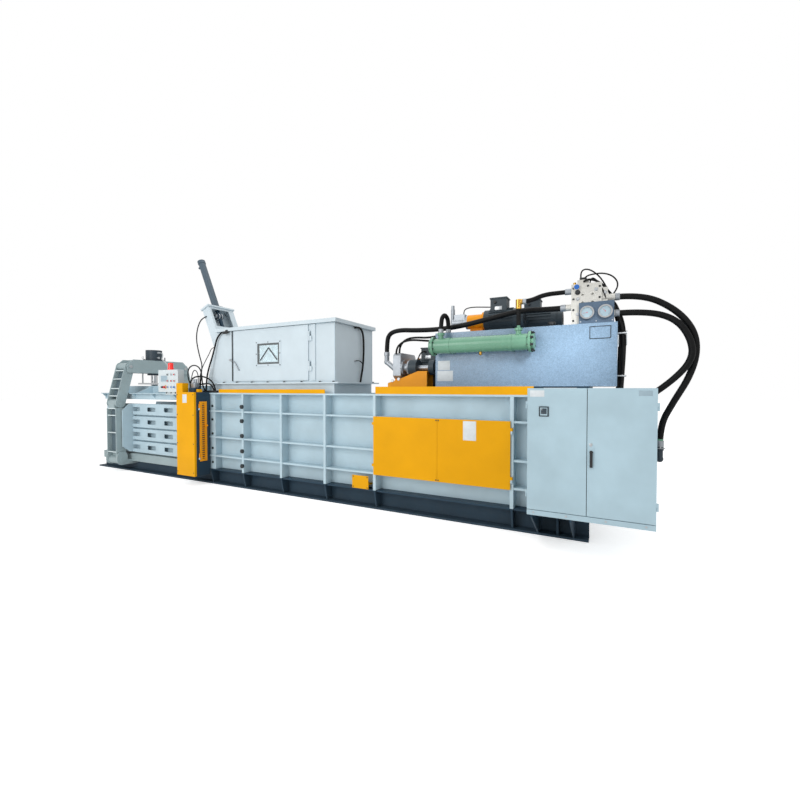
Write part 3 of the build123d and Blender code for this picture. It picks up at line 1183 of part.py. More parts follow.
def hopper():
    """The sheet hopper with its rim, seat flange, skirt, roof over the tower end and the door frame."""
    shell = cut_y(hopper_outline(0), -HOPPER_HALF, HOPPER_HALF)
    shell -= cut_y(hopper_outline(HOPPER_T), -HOPPER_HALF + HOPPER_T, HOPPER_HALF - HOPPER_T)
    shell -= block(HATCH_LEFT - HATCH_LAP, HOPPER_RIGHT - HOPPER_T, -HOPPER_HALF + HOPPER_T,
                   HOPPER_HALF - HOPPER_T, HOPPER_TOP - HOPPER_T - 1, HOPPER_TOP + 1)
    floor = block(HOPPER_LEFT_LOW + HOPPER_T, FEED_LEFT, -HOPPER_HALF + HOPPER_T, HOPPER_HALF - HOPPER_T,
                  HOPPER_LOW, HOPPER_LOW + SEAT_T)
    seat = block(HOPPER_LEFT_LOW - SEAT_OUT, SEAT_RIGHT, -HOPPER_HALF - SEAT_OUT, HOPPER_HALF + SEAT_OUT,
                 HOPPER_LOW, HOPPER_LOW + SEAT_T)
    seat -= block(HOPPER_LEFT_LOW + HOPPER_T, HOPPER_RIGHT - HOPPER_T, -HOPPER_HALF + HOPPER_T,
                  HOPPER_HALF - HOPPER_T, HOPPER_LOW - 1, HOPPER_LOW + SEAT_T + 1)
    rim = block(RIM_LEFT, HOPPER_RIGHT + RIM_OUT, -HOPPER_HALF - RIM_OUT, HOPPER_HALF + RIM_OUT,
                HOPPER_TOP - RIM_DROP, HOPPER_TOP)
    rim -= block(RIM_LEFT - 1, HOPPER_RIGHT - HOPPER_T, -HOPPER_HALF + HOPPER_T, HOPPER_HALF - HOPPER_T,
                 HOPPER_TOP - RIM_DROP - 1, HOPPER_TOP + 1)
    rim -= block(RIM_LEFT + HOPPER_T, HOPPER_RIGHT + RIM_OUT - HOPPER_T, -HOPPER_HALF - RIM_OUT + HOPPER_T,
                 HOPPER_HALF + RIM_OUT - HOPPER_T, HOPPER_TOP - RIM_DROP - 1, HOPPER_TOP - HOPPER_T)
    skirt = block(SKIRT_LEFT, SKIRT_RIGHT, -HOPPER_HALF, HOPPER_HALF, WALL_TOP, HOPPER_LOW)
    skirt -= block(SKIRT_LEFT + HOPPER_T, SKIRT_RIGHT - HOPPER_T, -HOPPER_HALF + HOPPER_T,
                   HOPPER_HALF - HOPPER_T, WALL_TOP - 1, HOPPER_LOW + 1)
    skirt -= block(SKIRT_LEFT - 1, WALL_LEFT, -HOPPER_HALF - 1, HOPPER_HALF + 1, WALL_TOP - 1, TIE_TOP)
    chute = block(FEED_LEFT, FEED_LEFT + HOPPER_T, -HOPPER_HALF + HOPPER_T, HOPPER_HALF - HOPPER_T, WALL_TOP,
                  HOPPER_LOW + SEAT_T)
    chute_low = block(FEED_LEFT, FEED_LEFT + HOPPER_T, -CHAMBER_HALF, CHAMBER_HALF, CHAMBER_TOP + BLADE_H,
                      WALL_TOP)
    back_low = block(SKIRT_RIGHT - HOPPER_T, SKIRT_RIGHT, -CHAMBER_HALF, CHAMBER_HALF, CHAMBER_TOP + ROOF_T,
                     WALL_TOP)
    strip = block(STRIP_X0, STRIP_X1, -HOPPER_HALF - HATCH_T, -HOPPER_HALF, HATCH_LOW, HATCH_HIGH)
    jamb = block(HATCH_LEFT - HATCH_T * 3, HATCH_LEFT - HATCH_T, -HOPPER_HALF - HATCH_T, -HOPPER_HALF,
                 HATCH_LOW, HATCH_HIGH)
    body = join([shell, floor, seat, rim, skirt, chute, chute_low, back_low, strip, jamb])
    body -= in_tower(local_block(TOWER_T / 2 - TOWER_SKIN, TOWER_W / 2 - TOWER_SKIN, -TOWER_REACH, 0))
    body -= block(HATCH_LEFT + HATCH_LAP, HATCH_RIGHT - HATCH_LAP, -HOPPER_HALF - 1,
                  -HOPPER_HALF + HOPPER_T + 1, HATCH_LOW + HATCH_LAP, HATCH_HIGH - HATCH_LAP)
    for z in HATCH_HINGE_Z:
        half = bar_z(HATCH_AXIS_X, HATCH_AXIS_Y, z - HINGE_LEN, z - 1, HATCH_HINGE_R)
        pin = bar_z(HATCH_AXIS_X, HATCH_AXIS_Y, z - HINGE_LEN, z + HINGE_LEN, HINGE_PIN)
        foot = block(HATCH_AXIS_X, STRIP_X0 + HATCH_T, HATCH_AXIS_Y - HINGE_PIN, -HOPPER_HALF,
                     z - HINGE_LEN, z - 1)
        body += join([half, pin, foot])
    return body


def hopper_door():
    """The large front door of the hopper with its hinge barrels and the opening for the pane."""
    front = -HOPPER_HALF - HATCH_GAP - HATCH_T
    leaf = block(HATCH_LEFT, HATCH_RIGHT, front, front + HATCH_T, HATCH_LOW, HATCH_HIGH)
    leaf = fillet(leaf.edges().filter_by(Axis.Y), HATCH_T)
    frame = block(PANE_LEFT - PANE_FRAME, PANE_RIGHT + PANE_FRAME, front - PANE_T, front,
                  PANE_LOW - PANE_FRAME, PANE_HIGH + PANE_FRAME)
    parts = [leaf, frame]
    for z in HATCH_HINGE_Z:
        parts.append(bar_z(HATCH_AXIS_X, HATCH_AXIS_Y, z, z + HINGE_LEN, HATCH_HINGE_R))
        parts.append(block(HATCH_RIGHT - HATCH_T, HATCH_AXIS_X, front, front + HATCH_T, z, z + HINGE_LEN))
    door = join(parts)
    door -= block(PANE_LEFT, PANE_RIGHT, front - PANE_T - 1, front + HATCH_T + 1, PANE_LOW, PANE_HIGH)
    for z in HATCH_HINGE_Z:
        door -= bar_z(HATCH_AXIS_X, HATCH_AXIS_Y, z - 1, z + HINGE_LEN + 1, HINGE_PIN + PIN_CLEAR)
    return door


def door_window():
    """The clear pane set in the hopper door."""
    front = -HOPPER_HALF - HATCH_GAP - HATCH_T
    return block(PANE_LEFT, PANE_RIGHT, front, front + PANE_T, PANE_LOW, PANE_HIGH)


def press_tower():
    """The leaning box above the hopper that guides the pusher, with its cap and access opening."""
    body = local_block(TOWER_T / 2, TOWER_W / 2, -TOWER_REACH, -TOWER_CAP)
    body -= local_block(TOWER_T / 2 - TOWER_SKIN, TOWER_W / 2 - TOWER_SKIN, -TOWER_REACH - 1, -TOWER_CAP)
    cap = local_block(TOWER_T / 2 + TOWER_CAP_OUT, TOWER_W / 2 + TOWER_CAP_OUT, -TOWER_CAP, 0)
    side_opening = Pos(TOWER_T / 2, TOWER_OPEN_Y, (TOWER_OPEN_LOW + TOWER_OPEN_HIGH) / 2) * Box(
        TOWER_SKIN * 3, TOWER_OPEN_W, TOWER_OPEN_HIGH - TOWER_OPEN_LOW)
    bore = Pos(0, PRESS_Y, 0) * Cylinder(PRESS_ROD_R + BORE_CLEAR, TOWER_CAP * 3)
    shape = in_tower((body + cap) - side_opening - bore)
    return shape - block(HOPPER_LEFT_LOW, HOPPER_RIGHT, -HOPPER_HALF - 1, HOPPER_HALF, HOPPER_LOW, HOPPER_TOP)


def press_cylinder():
    """The slim cylinder standing on the tower cap."""
    barrel = Pos(0, PRESS_Y, PRESS_BARREL_L / 2) * Cylinder(PRESS_BARREL_R, PRESS_BARREL_L)
    flange = Pos(0, PRESS_Y, TOWER_CAP / 2) * Box(PRESS_BARREL_R * 2.6, PRESS_BARREL_R * 2.6, TOWER_CAP)
    head_r = PRESS_BARREL_R + TOWER_CAP / 4
    head = Pos(0, PRESS_Y, PRESS_BARREL_L - TOWER_CAP) * Cylinder(head_r, TOWER_CAP * 2)
    port = Pos(-PRESS_BARREL_R, PRESS_Y, PRESS_BARREL_L - TOWER_CAP * 3) * Rot(0, 90, 0) * Cylinder(
        THIN_HOSE_R + PIN_R / 10, TOWER_CAP * 3)
    shape = barrel + [flange, head, port]
    shape -= Pos(0, PRESS_Y, (PRESS_BARREL_L - TOWER_CAP * 2) / 2 - 1) * Cylinder(
        PRESS_ROD_R + PIN_CLEAR, PRESS_BARREL_L - TOWER_CAP * 2)
    return in_tower(shape)


def press_pusher():
    """The pusher box with its rod and clevis."""
    x, y = TOWER_T / 2 - TOWER_SKIN - PUSHER_GAP, TOWER_W / 2 - TOWER_SKIN - PUSHER_GAP
    box = local_block(x, y, -PUSHER_LOW, -PUSHER_HIGH)
    box -= local_block(x - TOWER_SKIN, y - TOWER_SKIN, -PUSHER_LOW + TOWER_SKIN, -PUSHER_HIGH - TOWER_SKIN)
    rod_top = PRESS_BARREL_L - TOWER_CAP * 4
    rod = Pos(0, PRESS_Y, (rod_top - PUSHER_HIGH) / 2) * Cylinder(PRESS_ROD_R, rod_top + PUSHER_HIGH)
    clevis = Pos(0, PRESS_Y, -CLEVIS_Z) * Box(PRESS_ROD_R * 3.2, PRESS_ROD_R * 3.6, PRESS_ROD_R * 2.4)
    return in_tower(join([box, rod, clevis]))


# Power pack

def power_deck():
    """The deck plate on channels that stand on the wall flanges."""
    pieces = [block(DECK_LEFT, WALL_RIGHT, -DECK_HALF, DECK_HALF, DECK_TOP - DECK_T, DECK_TOP)]
    for index in range(DECK_CHANNELS):
        x = DECK_LEFT + CROSS_W / 2 + (WALL_RIGHT - DECK_LEFT - CROSS_W) * index / (DECK_CHANNELS - 1)
        channel = block(x - CROSS_W / 2, x + CROSS_W / 2, -DECK_HALF, DECK_HALF, WALL_TOP, DECK_TOP - DECK_T)
        channel -= block(x - CROSS_W / 2 + FASCIA_T, x + CROSS_W, -DECK_HALF - 1, DECK_HALF + 1,
                         WALL_TOP + FASCIA_T, DECK_TOP - DECK_T - FASCIA_T)
        pieces.append(channel)
    return join(pieces)


def power_tank():
    """The welded oil tank with its embossed plate and a low lid."""
    tank = block(TANK_LEFT, TANK_RIGHT, TANK_FRONT, TANK_BACK, DECK_TOP, TANK_TOP)
    tank -= block(TANK_LEFT + TANK_SKIN, TANK_RIGHT - TANK_SKIN, TANK_FRONT + TANK_SKIN,
                  TANK_BACK - TANK_SKIN, DECK_TOP + TANK_SKIN, TANK_TOP - TANK_SKIN)
    badge = block(BADGE_X0, BADGE_X1, TANK_FRONT - PLATE_GAP, TANK_FRONT, BADGE_Z0, BADGE_Z1)
    badge = fillet(badge.edges().filter_by(Axis.Y), TANK_SKIN * 2)
    return tank + badge


def oil_cooler():
    """The shell and tube oil cooler with end covers, ports and saddles on the tank front."""
    left, right = COOLER_LEFT + COOLER_FLANGE_L, COOLER_RIGHT - COOLER_FLANGE_L
    parts = [bar_x(left, right, COOLER_Y, COOLER_Z, COOLER_R)]
    for x in (COOLER_LEFT, COOLER_RIGHT - COOLER_FLANGE_L):
        parts.append(bar_x(x, x + COOLER_FLANGE_L, COOLER_Y, COOLER_Z, COOLER_FLANGE_R))
    for x in (COOLER_LEFT - COOLER_FLANGE_L, COOLER_RIGHT):
        parts.append(bar_x(x, x + COOLER_FLANGE_L, COOLER_Y, COOLER_Z, COOLER_R))
    for x in COOLER_BAND_X:
        parts.append(bar_x(x - STRAP_W / 2, x + STRAP_W / 2, COOLER_Y, COOLER_Z, COOLER_R + COVER_T))
        parts.append(block(x - STRAP_W / 2, x + STRAP_W / 2, COOLER_Y, TANK_FRONT, COOLER_Z - COOLER_R,
                           COOLER_Z - COOLER_R / 2))
    for x in COOLER_PORT_X:
        parts.append(bar_z(x, COOLER_Y, COOLER_Z, COOLER_PORT_TOP, HOSE_R))
        parts.append(bar_z(x, COOLER_Y, COOLER_PORT_TOP - COOLER_FLANGE_L, COOLER_PORT_TOP,
                           HOSE_R + THIN_HOSE_R))
    tee_x = COOLER_PORT_X[1]
    parts.append(bar_z(tee_x, COOLER_Y, COOLER_PORT_TOP, TEE_TOP, STEM_R))
    parts.append(bar_z(tee_x, COOLER_Y, TEE_LOW, TEE_TOP, TEE_R))
    parts.append(bar_x(tee_x, tee_x + TEE_ARM_L, COOLER_Y, TEE_ARM_Z, TEE_ARM_R))
    return join(parts) - bar_x(left, right, COOLER_Y, COOLER_Z, COOLER_R - TANK_SKIN)


def bell_housings():
    """The orange pieces of the pump sets: the cradle of the low pump and the two bells."""
    outline = [(CRADLE_LEFT, DECK_TOP), (CRADLE_RIGHT, DECK_TOP), (CRADLE_RIGHT, CRADLE_HEAD_Z),
               (CRADLE_HEAD_X, CRADLE_HEAD_Z), CRADLE_HEEL, CRADLE_MID, (CRADLE_LEFT, CRADLE_TOE_Z)]
    cradle = cut_y(outline, CRADLE_FRONT, CRADLE_BACK)
    cradle -= cut_y([(x, z - DECK_T) for x, z in outline], CRADLE_FRONT + DECK_T, CRADLE_BACK - DECK_T)
    cradle += block(CASE_X0, CASE_X1, -CRADLE_PAD / 2, CRADLE_BACK, DECK_TOP, CASE_LOW)
    cradle -= bar_x(CASE_X1 + 1, RING_X1 + DECK_T, INLET_Y, INLET_Z, RING_R + COVER_T)
    bell = Pos((CASE_X1 + BELL_LOW_X1) / 2, LOW_SET_Y, LOW_SET_Z) * Rot(0, 90, 0) * Cone(
        BELL_LOW_R0, BELL_LOW_R1, BELL_LOW_X1 - CASE_X1)
    flange = bar_x(BELL_LOW_X1, BELL_LOW_X1 + BELL_FLANGE_T, LOW_SET_Y, LOW_SET_Z, BELL_LOW_FLANGE_R)
    foot = block(BELL_LOW_X1, BELL_LOW_X1 + BELL_FLANGE_T, LOW_SET_Y - BELL_LOW_R0, LOW_SET_Y + BELL_LOW_R0,
                 DECK_TOP, LOW_SET_Z)
    high = bar_x(PUMP_HIGH_X1, MOTOR_HIGH_X0, HIGH_SET_Y, HIGH_SET_Z, BELL_HIGH_R)
    high += bar_x(MOTOR_HIGH_X0 - BELL_FLANGE_T, MOTOR_HIGH_X0, HIGH_SET_Y, HIGH_SET_Z, BELL_HIGH_FLANGE_R)
    high += block(PUMP_HIGH_X1, MOTOR_HIGH_X0, HIGH_SET_Y - BELL_HIGH_R, HIGH_SET_Y + BELL_HIGH_R, TANK_TOP,
                  TANK_TOP + DECK_T)
    high += block(PUMP_HIGH_X1 + COOLER_FLANGE_L, MOTOR_HIGH_X0 - COOLER_FLANGE_L,
                  HIGH_SET_Y - COOLER_FLANGE_L, HIGH_SET_Y + COOLER_FLANGE_L, TANK_TOP, HIGH_SET_Z)
    return join([cradle, join([bell, flange, foot]), high])


def motor(x0, x1, y, z, radius, seat, box_x0, box_x1, box_top):
    """One electric motor: ribbed barrel, end cowl, feet and terminal box."""
    cowl = x1 - radius / 2
    parts = [bar_x(x0, cowl, y, z, radius), bar_x(cowl, x1, y, z, radius * COWL_SHARE)]
    for index in range(MOTOR_RIBS):
        rib = Box((x1 - x0) * RIB_SHARE, COVER_T, COVER_T * 4)
        parts.append(Pos((x0 + cowl) / 2, y, z) * Rot(360 * index / MOTOR_RIBS, 0, 0)
                     * Pos(0, 0, radius + COVER_T) * rib)
    foot, web, side, lid = radius * FOOT_SHARE, radius * WEB_SHARE, radius * BOX_SHARE, radius * LID_SHARE
    parts.append(block(x0 + radius / 2, x1 - radius, y - foot, y + foot, seat, seat + DECK_T))
    parts.append(block(x0 + radius / 2, x1 - radius, y - web, y + web, seat, z))
    parts.append(block(box_x0, box_x1, y - side, y + side, z + foot, box_top))
    parts.append(block(box_x0 - COVER_T * 2, box_x1 + COVER_T * 2, y - lid, y + lid, box_top,
                       box_top + DECK_T))
    return join(parts)


def pump_motors():
    """The three motors, and the black ring and stop valve in the suction line of the low pump."""
    low = motor(BELL_LOW_X1 + BELL_FLANGE_T, TANK_LEFT - DECK_T, LOW_SET_Y, LOW_SET_Z, MOTOR_LOW_R, DECK_TOP,
                LOW_BOX_X0, LOW_BOX_X1, LOW_BOX_TOP)
    ring = bar_x(INLET_X1, RING_X1, INLET_Y, INLET_Z, RING_R)
    valve = bar_x(VALVE_X0, VALVE_X1, INLET_Y, INLET_Z, VALVE_R)
    valve += bar_x(VALVE_X1, TANK_LEFT, INLET_Y, INLET_Z, VALVE_NECK_R)
    high = motor(MOTOR_HIGH_X0, MOTOR_HIGH_X1, HIGH_SET_Y, HIGH_SET_Z, MOTOR_HIGH_R, TANK_TOP, HIGH_BOX_X0,
                 HIGH_BOX_X1, HIGH_BOX_TOP)
    back = motor(MOTOR_BACK_X0, MOTOR_BACK_X1, BACK_SET_Y, HIGH_SET_Z, MOTOR_BACK_R, TANK_TOP, BACK_BOX_X0,
                 BACK_BOX_X1, BACK_BOX_TOP)
    return join([low, ring, valve, high, back])


def low_pump():
    """The gear case with its inlet flange, the suction pipe and the pressure elbow."""
    case = block(CASE_X0, CASE_X1, CASE_FRONT, CASE_BACK, CASE_LOW, CASE_TOP)
    case = chamfer(case.edges().filter_by(Axis.X), CASE_CHAMFER)
    parts = [case, bar_x(CASE_X1, INLET_X1, INLET_Y, INLET_Z, INLET_NECK_R)]
    plate = extrude(Plane.YZ * Pos(INLET_Y, INLET_Z) * RegularPolygon(INLET_PLATE_R, 8, major_radius=False),
                    INLET_PLATE_T)
    parts += [Pos(CASE_X1, 0, 0) * plate, Pos(INLET_X1 - INLET_PLATE_T, 0, 0) * plate]
    parts.append(bar_x(RING_X1, VALVE_X0, INLET_Y, INLET_Z, SUCTION_R))
    low, high = Vector(CASE_X0 + ELBOW_R, ELBOW_Y, ELBOW_LOW_Z - ELBOW_R), Vector(ELBOW_X, ELBOW_Y, ELBOW_Z)
    slant = Pos((low + high) / 2) * Plane((0, 0, 0), z_dir=high - low).location * Cylinder(
        ELBOW_R + PLATE_GAP, (high - low).length)
    knee = Pos(high) * Sphere(ELBOW_R + BEZEL_T)
    return join(parts + [slant, knee, bar_z(ELBOW_X, ELBOW_Y, ELBOW_Z, ELBOW_TOP, ELBOW_R)])


def high_pump():
    """The small pump on the tank with its port block, riser and flange."""
    parts = [bar_x(PUMP_HIGH_X0, PUMP_HIGH_X1 - COOLER_FLANGE_L, HIGH_SET_Y, HIGH_SET_Z, PUMP_HIGH_R)]
    parts.append(bar_x(PUMP_HIGH_X1 - COOLER_FLANGE_L, PUMP_HIGH_X1, HIGH_SET_Y, HIGH_SET_Z,
                       BELL_HIGH_R - PLATE_GAP))
    parts.append(block(PUMP_BLOCK_X0, PUMP_BLOCK_X1, HIGH_SET_Y - PUMP_BLOCK_HALF,
                       HIGH_SET_Y + PUMP_BLOCK_HALF, HIGH_SET_Z, PUMP_BLOCK_TOP))
    parts.append(bar_z(RISER_X, HIGH_SET_Y, RISER_LOW, RISER_TOP, RISER_R))
    parts.append(bar_z(RISER_X, HIGH_SET_Y, RISER_TOP, RISER_CAP_TOP, RISER_CAP_R))
    return join(parts)


def oil_pumps():
    """The low pump beside the tank and the high pump on the tank."""
    return join([low_pump(), high_pump()])


def valve_manifold():
    """The steel valve block with a stepped top, blind ports and hose fittings on its right."""
    body = block(BLOCK_LEFT, BLOCK_RIGHT, BLOCK_FRONT, BLOCK_BACK, TANK_TOP, BLOCK_TOP)
    step = block(BLOCK_RIGHT, BLOCK_RIGHT + BLOCK_STEP, BLOCK_FRONT + DECK_T, BLOCK_BACK, TANK_TOP,
                 BLOCK_TOP - BLOCK_STEP)
    coil = block(BLOCK_LEFT + BLOCK_STEP, BLOCK_LEFT + BLOCK_STEP * 3, BLOCK_FRONT + BLOCK_STEP,
                 BLOCK_BACK - BLOCK_STEP / 2, BLOCK_TOP, BLOCK_TOP + BLOCK_STEP)
    shape = join([body, step, coil])
    for x in BLOCK_HOLE_X:
        for z in BLOCK_HOLE_Z:
            shape -= bar_y(x, BLOCK_FRONT - 1, BLOCK_FRONT + FASCIA_T * 3, z, BLOCK_HOLE_R)
    for z in BLOCK_PORT_Z:
        shape += bar_x(BLOCK_RIGHT, BLOCK_PORT_X, BLOCK_PORT_Y, z, HOSE_R + FASCIA_T)
    shape += bar_y(BLOCK_LEFT + BLOCK_STEP, BLOCK_FRONT - BLOCK_STEP / 2, BLOCK_FRONT, BLOCK_KNOB_Z, HOSE_R)
    left_port = bar_x(BLOCK_LEFT - BLOCK_STEP, BLOCK_LEFT, BLOCK_PORT_Y, LEFT_PORT_Z, HOSE_R + FASCIA_T / 2)
    return shape + left_port


def gauge_panel():
    """The dark gauge plate on a foot with two round pressure gauges."""
    front = BLOCK_FRONT - DIAL_PLATE_GAP
    plate = block(DIAL_PLATE_LEFT, DIAL_PLATE_RIGHT, front, front + FASCIA_T, TANK_TOP, DIAL_PLATE_TOP)
    foot = block(DIAL_PLATE_LEFT, DIAL_PLATE_RIGHT, front, BLOCK_FRONT - 1, TANK_TOP, TANK_TOP + FASCIA_T)
    parts = [plate, foot]
    for x in DIAL_X:
        dial = bar_y(x, front - DIAL_DEPTH, front, DIAL_Z, DIAL_R)
        dial -= bar_y(x, front - DIAL_DEPTH - 1, front - DIAL_DEPTH + COVER_T, DIAL_Z, DIAL_R - FASCIA_T)
        parts.append(dial)
    return join(parts)


# Electrical cabinet

def cabinet_body():
    """The cabinet box, open behind its two doors, with fixed hinge pins at the outer edges."""
    front = CAB_FRONT + CAB_DOOR_T + CAB_CLEAR
    body = block(CAB_LEFT, CAB_RIGHT, front, -WALL_OUT, CAB_LOW, CAB_TOP)
    body -= block(CAB_LEFT + CAB_WALL, CAB_RIGHT - CAB_WALL, front - 1, -WALL_OUT - CAB_WALL,
                  CAB_LOW + CAB_WALL, CAB_TOP - CAB_WALL)
    sill = block(CAB_LEFT, CAB_RIGHT, CAB_FRONT, front, CAB_LOW, CAB_DOOR_LOW - CAB_GAP)
    parts = [body, sill]
    for x, sign in ((CAB_LEFT, 1), (CAB_RIGHT, -1)):
        pin_x = x - sign * CAB_HINGE_R
        for z in CAB_HINGE_Z:
            y = CAB_FRONT + CAB_DOOR_T / 2
            parts.append(bar_z(pin_x, y, z - HINGE_LEN / 2, z - 1, CAB_HINGE_R))
            parts.append(bar_z(pin_x, y, z - HINGE_LEN / 2, z + HINGE_LEN / 2, HINGE_PIN / 2))
            parts.append(block(min(pin_x - sign * CAB_HINGE_R, x), max(pin_x - sign * CAB_HINGE_R, x), y,
                               front + CAB_WALL * 5, z - HINGE_LEN / 2, z - 1))
    return join(parts)


def cabinet_door(side):
    """One folded cabinet door; the left one carries the small display, the right one the handle plate."""
    x0, x1 = (CAB_LEFT, CAB_SEAM - CAB_GAP / 2) if side == NEAR else (CAB_SEAM + CAB_GAP / 2, CAB_RIGHT)
    back = CAB_FRONT + CAB_DOOR_T
    leaf = block(x0, x1, CAB_FRONT, back, CAB_DOOR_LOW, CAB_TOP)
    leaf -= block(x0 + CAB_DOOR_T, x1 - CAB_DOOR_T, CAB_FRONT + CAB_SKIN, back + 1, CAB_DOOR_LOW + CAB_DOOR_T,
                  CAB_TOP - CAB_DOOR_T)
    edge, sign = (x0, 1) if side == NEAR else (x1, -1)
    pin_x = edge - sign * CAB_HINGE_R
    for z in CAB_HINGE_Z:
        y = CAB_FRONT + CAB_DOOR_T / 2
        lug_end = edge + sign * CAB_SKIN
        lug = block(min(pin_x, lug_end), max(pin_x, lug_end), CAB_FRONT + CAB_SKIN, y + CAB_SKIN, z,
                    z + HINGE_LEN / 2)
        leaf += bar_z(pin_x, y, z, z + HINGE_LEN / 2, CAB_HINGE_R) + lug
        leaf -= bar_z(pin_x, y, z - 1, z + HINGE_LEN / 2 + 1, HINGE_PIN / 2 + PIN_CLEAR)
    if side == NEAR:
        leaf += block(METER_X0, METER_X1, CAB_FRONT - FASCIA_T, CAB_FRONT, METER_Z0, METER_Z1)
    else:
        leaf += block(HANDLE_X - BUTTON_R * 1.4, HANDLE_X + BUTTON_R * 1.4, CAB_FRONT - COVER_T, CAB_FRONT,
                      HANDLE_LOW - BUTTON_R, HANDLE_HIGH + BUTTON_R * 4)
        leaf -= bar_y(HANDLE_X, CAB_FRONT - COVER_T - 1, CAB_FRONT + CAB_SKIN + 1, HANDLE_HIGH,
                      BUTTON_R / 2 + PIN_CLEAR)
    return leaf


def cabinet_handle():
    """The swing handle of the cabinet, turning on a short stem."""
    front = CAB_FRONT - COVER_T - 1
    grip = block(HANDLE_X - BUTTON_R * 0.8, HANDLE_X + BUTTON_R * 0.8, front - BUTTON_R, front, HANDLE_LOW,
                 HANDLE_HIGH)
    hub = bar_y(HANDLE_X, front - BUTTON_R, front, HANDLE_HIGH, BUTTON_R)
    stem = bar_y(HANDLE_X, front, CAB_FRONT + CAB_SKIN * 2, HANDLE_HIGH, BUTTON_R / 2)
    return join([grip, hub, stem])


def cabinet_brackets():
    """The dark diagonal plates that carry the cabinet from the skid."""
    web, shelf = -SKID_WEB_IN - SKID_WEB, SKID_TOP - SHELF_T
    outline = [(CAB_FRONT, CAB_LOW), (-WALL_OUT, CAB_LOW), (-SKID_SHELF_OUT, SKID_TOP),
               (-SKID_SHELF_OUT, shelf), (web, shelf), (web, FLANGE_T), (-SKID_FLANGE_OUT, FLANGE_T),
               (CAB_FRONT, CAB_LOW - FLANGE_T)]
    return join([cut_x(outline, x, x + DECK_T) for x in BRACKET_X])


# Hoses

def hose(points, radius):
    """A round hose along straight runs joined by tangent arcs."""
    vectors = [Vector(*point) for point in points]
    radii = []
    for before, here, after in zip(vectors, vectors[1:], vectors[2:]):
        first, second = here - before, after - here
        turn = math.radians(first.get_angle(second))
        radii.append(0.45 * min(first.length, second.length) / math.tan(turn / 2))
    line = FilletPolyline(*vectors, radius=radii)
    section = Plane(origin=vectors[0], z_dir=vectors[1] - vectors[0]) * Circle(radius)
    made = sweep(section, path=line)
    share = made.volume / (math.pi * radius ** 2 * line.length)
    print("hose", [round(value) for value in radii], round(line.length), round(share, 3))
    return made


def loop_hose_upper():
    """The outer loop from the valve block to the cap of the main cylinder."""
    return hose([(BLOCK_PORT_X, BLOCK_PORT_Y, BLOCK_PORT_Z[0])] + LOOP_UPPER
                + [(REAR_PORT_X, 0, REAR_PORT_TOP)], HOSE_R)


def loop_hose_lower():
    """The inner loop from the valve block to the front port pipe of the main cylinder."""
    return hose([(BLOCK_PORT_X, BLOCK_PORT_Y, BLOCK_PORT_Z[1])] + LOOP_LOWER
                + [(FRONT_PORT_X, 0, FRONT_PORT_TOP)], HOSE_R)


def pressure_hose():
    """The long hose from the low pump over the cooler to the valve block."""
    start = (ELBOW_X, ELBOW_Y, ELBOW_TOP)
    end = (BLOCK_LEFT - BLOCK_STEP, BLOCK_PORT_Y, LEFT_PORT_Z)
    return hose([start] + PRESSURE_RUN + [end], HOSE_R)


def cooler_hose():
    """The short hose bend from the left port of the cooler down to the tank top."""
    start = (COOLER_PORT_X[0], COOLER_Y, COOLER_PORT_TOP)
    return hose([start] + COOLER_RUN, HOSE_R * 0.85)


def tee_hose():
    """The hose from the tee above the cooler to the valve block."""
    start = (COOLER_PORT_X[1] + TEE_ARM_L, COOLER_Y, TEE_ARM_Z)
    return hose([start] + TEE_RUN, HOSE_R * 0.8)


# Every piece under its own name

NODES = {
    "base_skid": base_skid,
    "side_wall_front": lambda: side_wall(NEAR),
    "side_wall_rear": lambda: side_wall(FAR),
    "chamber_floor": chamber_floor,
    "roof_plates": roof_plates,
    "shear_blade": shear_blade,
    "rear_end_frame": rear_end_frame,
    "wall_bolts": wall_bolts,
    "trim_strips": trim_strips,
    "service_door_left": lambda: service_door(NEAR),
    "service_door_right": lambda: service_door(FAR),
    "door_hinges": door_hinges,
    "ram_platen": ram_platen,
    "ram_rod": ram_rod,
    "main_cylinder": main_cylinder,
    "exit_frame": exit_frame,
    "side_press_near": lambda: side_press(NEAR),
    "side_press_far": lambda: side_press(FAR),
    "top_press_plate": top_press,
    "arm_lower_near": lambda: lower_arm(NEAR),
    "arm_lower_far": lambda: lower_arm(FAR),
    "arm_upper_near": lambda: upper_arm(NEAR),
    "arm_upper_far": lambda: upper_arm(FAR),
    "squeeze_beam": squeeze_beam,
    "squeeze_cylinder": squeeze_cylinder,
    "squeeze_rod": squeeze_rod,
    "tying_frame": tying_frame,
    "tying_cover": tying_cover,
    "guard_door": guard_door,
    "needle_carriage": needle_carriage,
    "control_box": control_box,
    "beacon": beacon,
    "stop_button": lambda: push_button(STOP_PLACE, BUTTON_R + 4, BUTTON_OUT),
    "start_button": lambda: push_button(START_PLACE, BUTTON_R, BUTTON_OUT / 2),
    "selector_switch": selector_switch,
    "hopper": hopper,
    "hopper_door": hopper_door,
    "door_window": door_window,
    "press_tower": press_tower,
    "press_cylinder": press_cylinder,
    "press_pusher": press_pusher,
    "power_deck": power_deck,
    "power_tank": power_tank,
    "oil_cooler": oil_cooler,
    "bell_housings": bell_housings,
    "pump_motors": pump_motors,
    "oil_pumps": oil_pumps,
    "valve_manifold": valve_manifold,
    "gauge_panel": gauge_panel,
    "cabinet_body": cabinet_body,
    "cabinet_door_left": lambda: cabinet_door(NEAR),
    "cabinet_door_right": lambda: cabinet_door(FAR),
    "cabinet_handle": cabinet_handle,
    "cabinet_brackets": cabinet_brackets,
    "loop_hose_upper": loop_hose_upper,
    "loop_hose_lower": loop_hose_lower,
    "pressure_hose": pressure_hose,
    "cooler_hose": cooler_hose,
    "tee_hose": tee_hose,
}

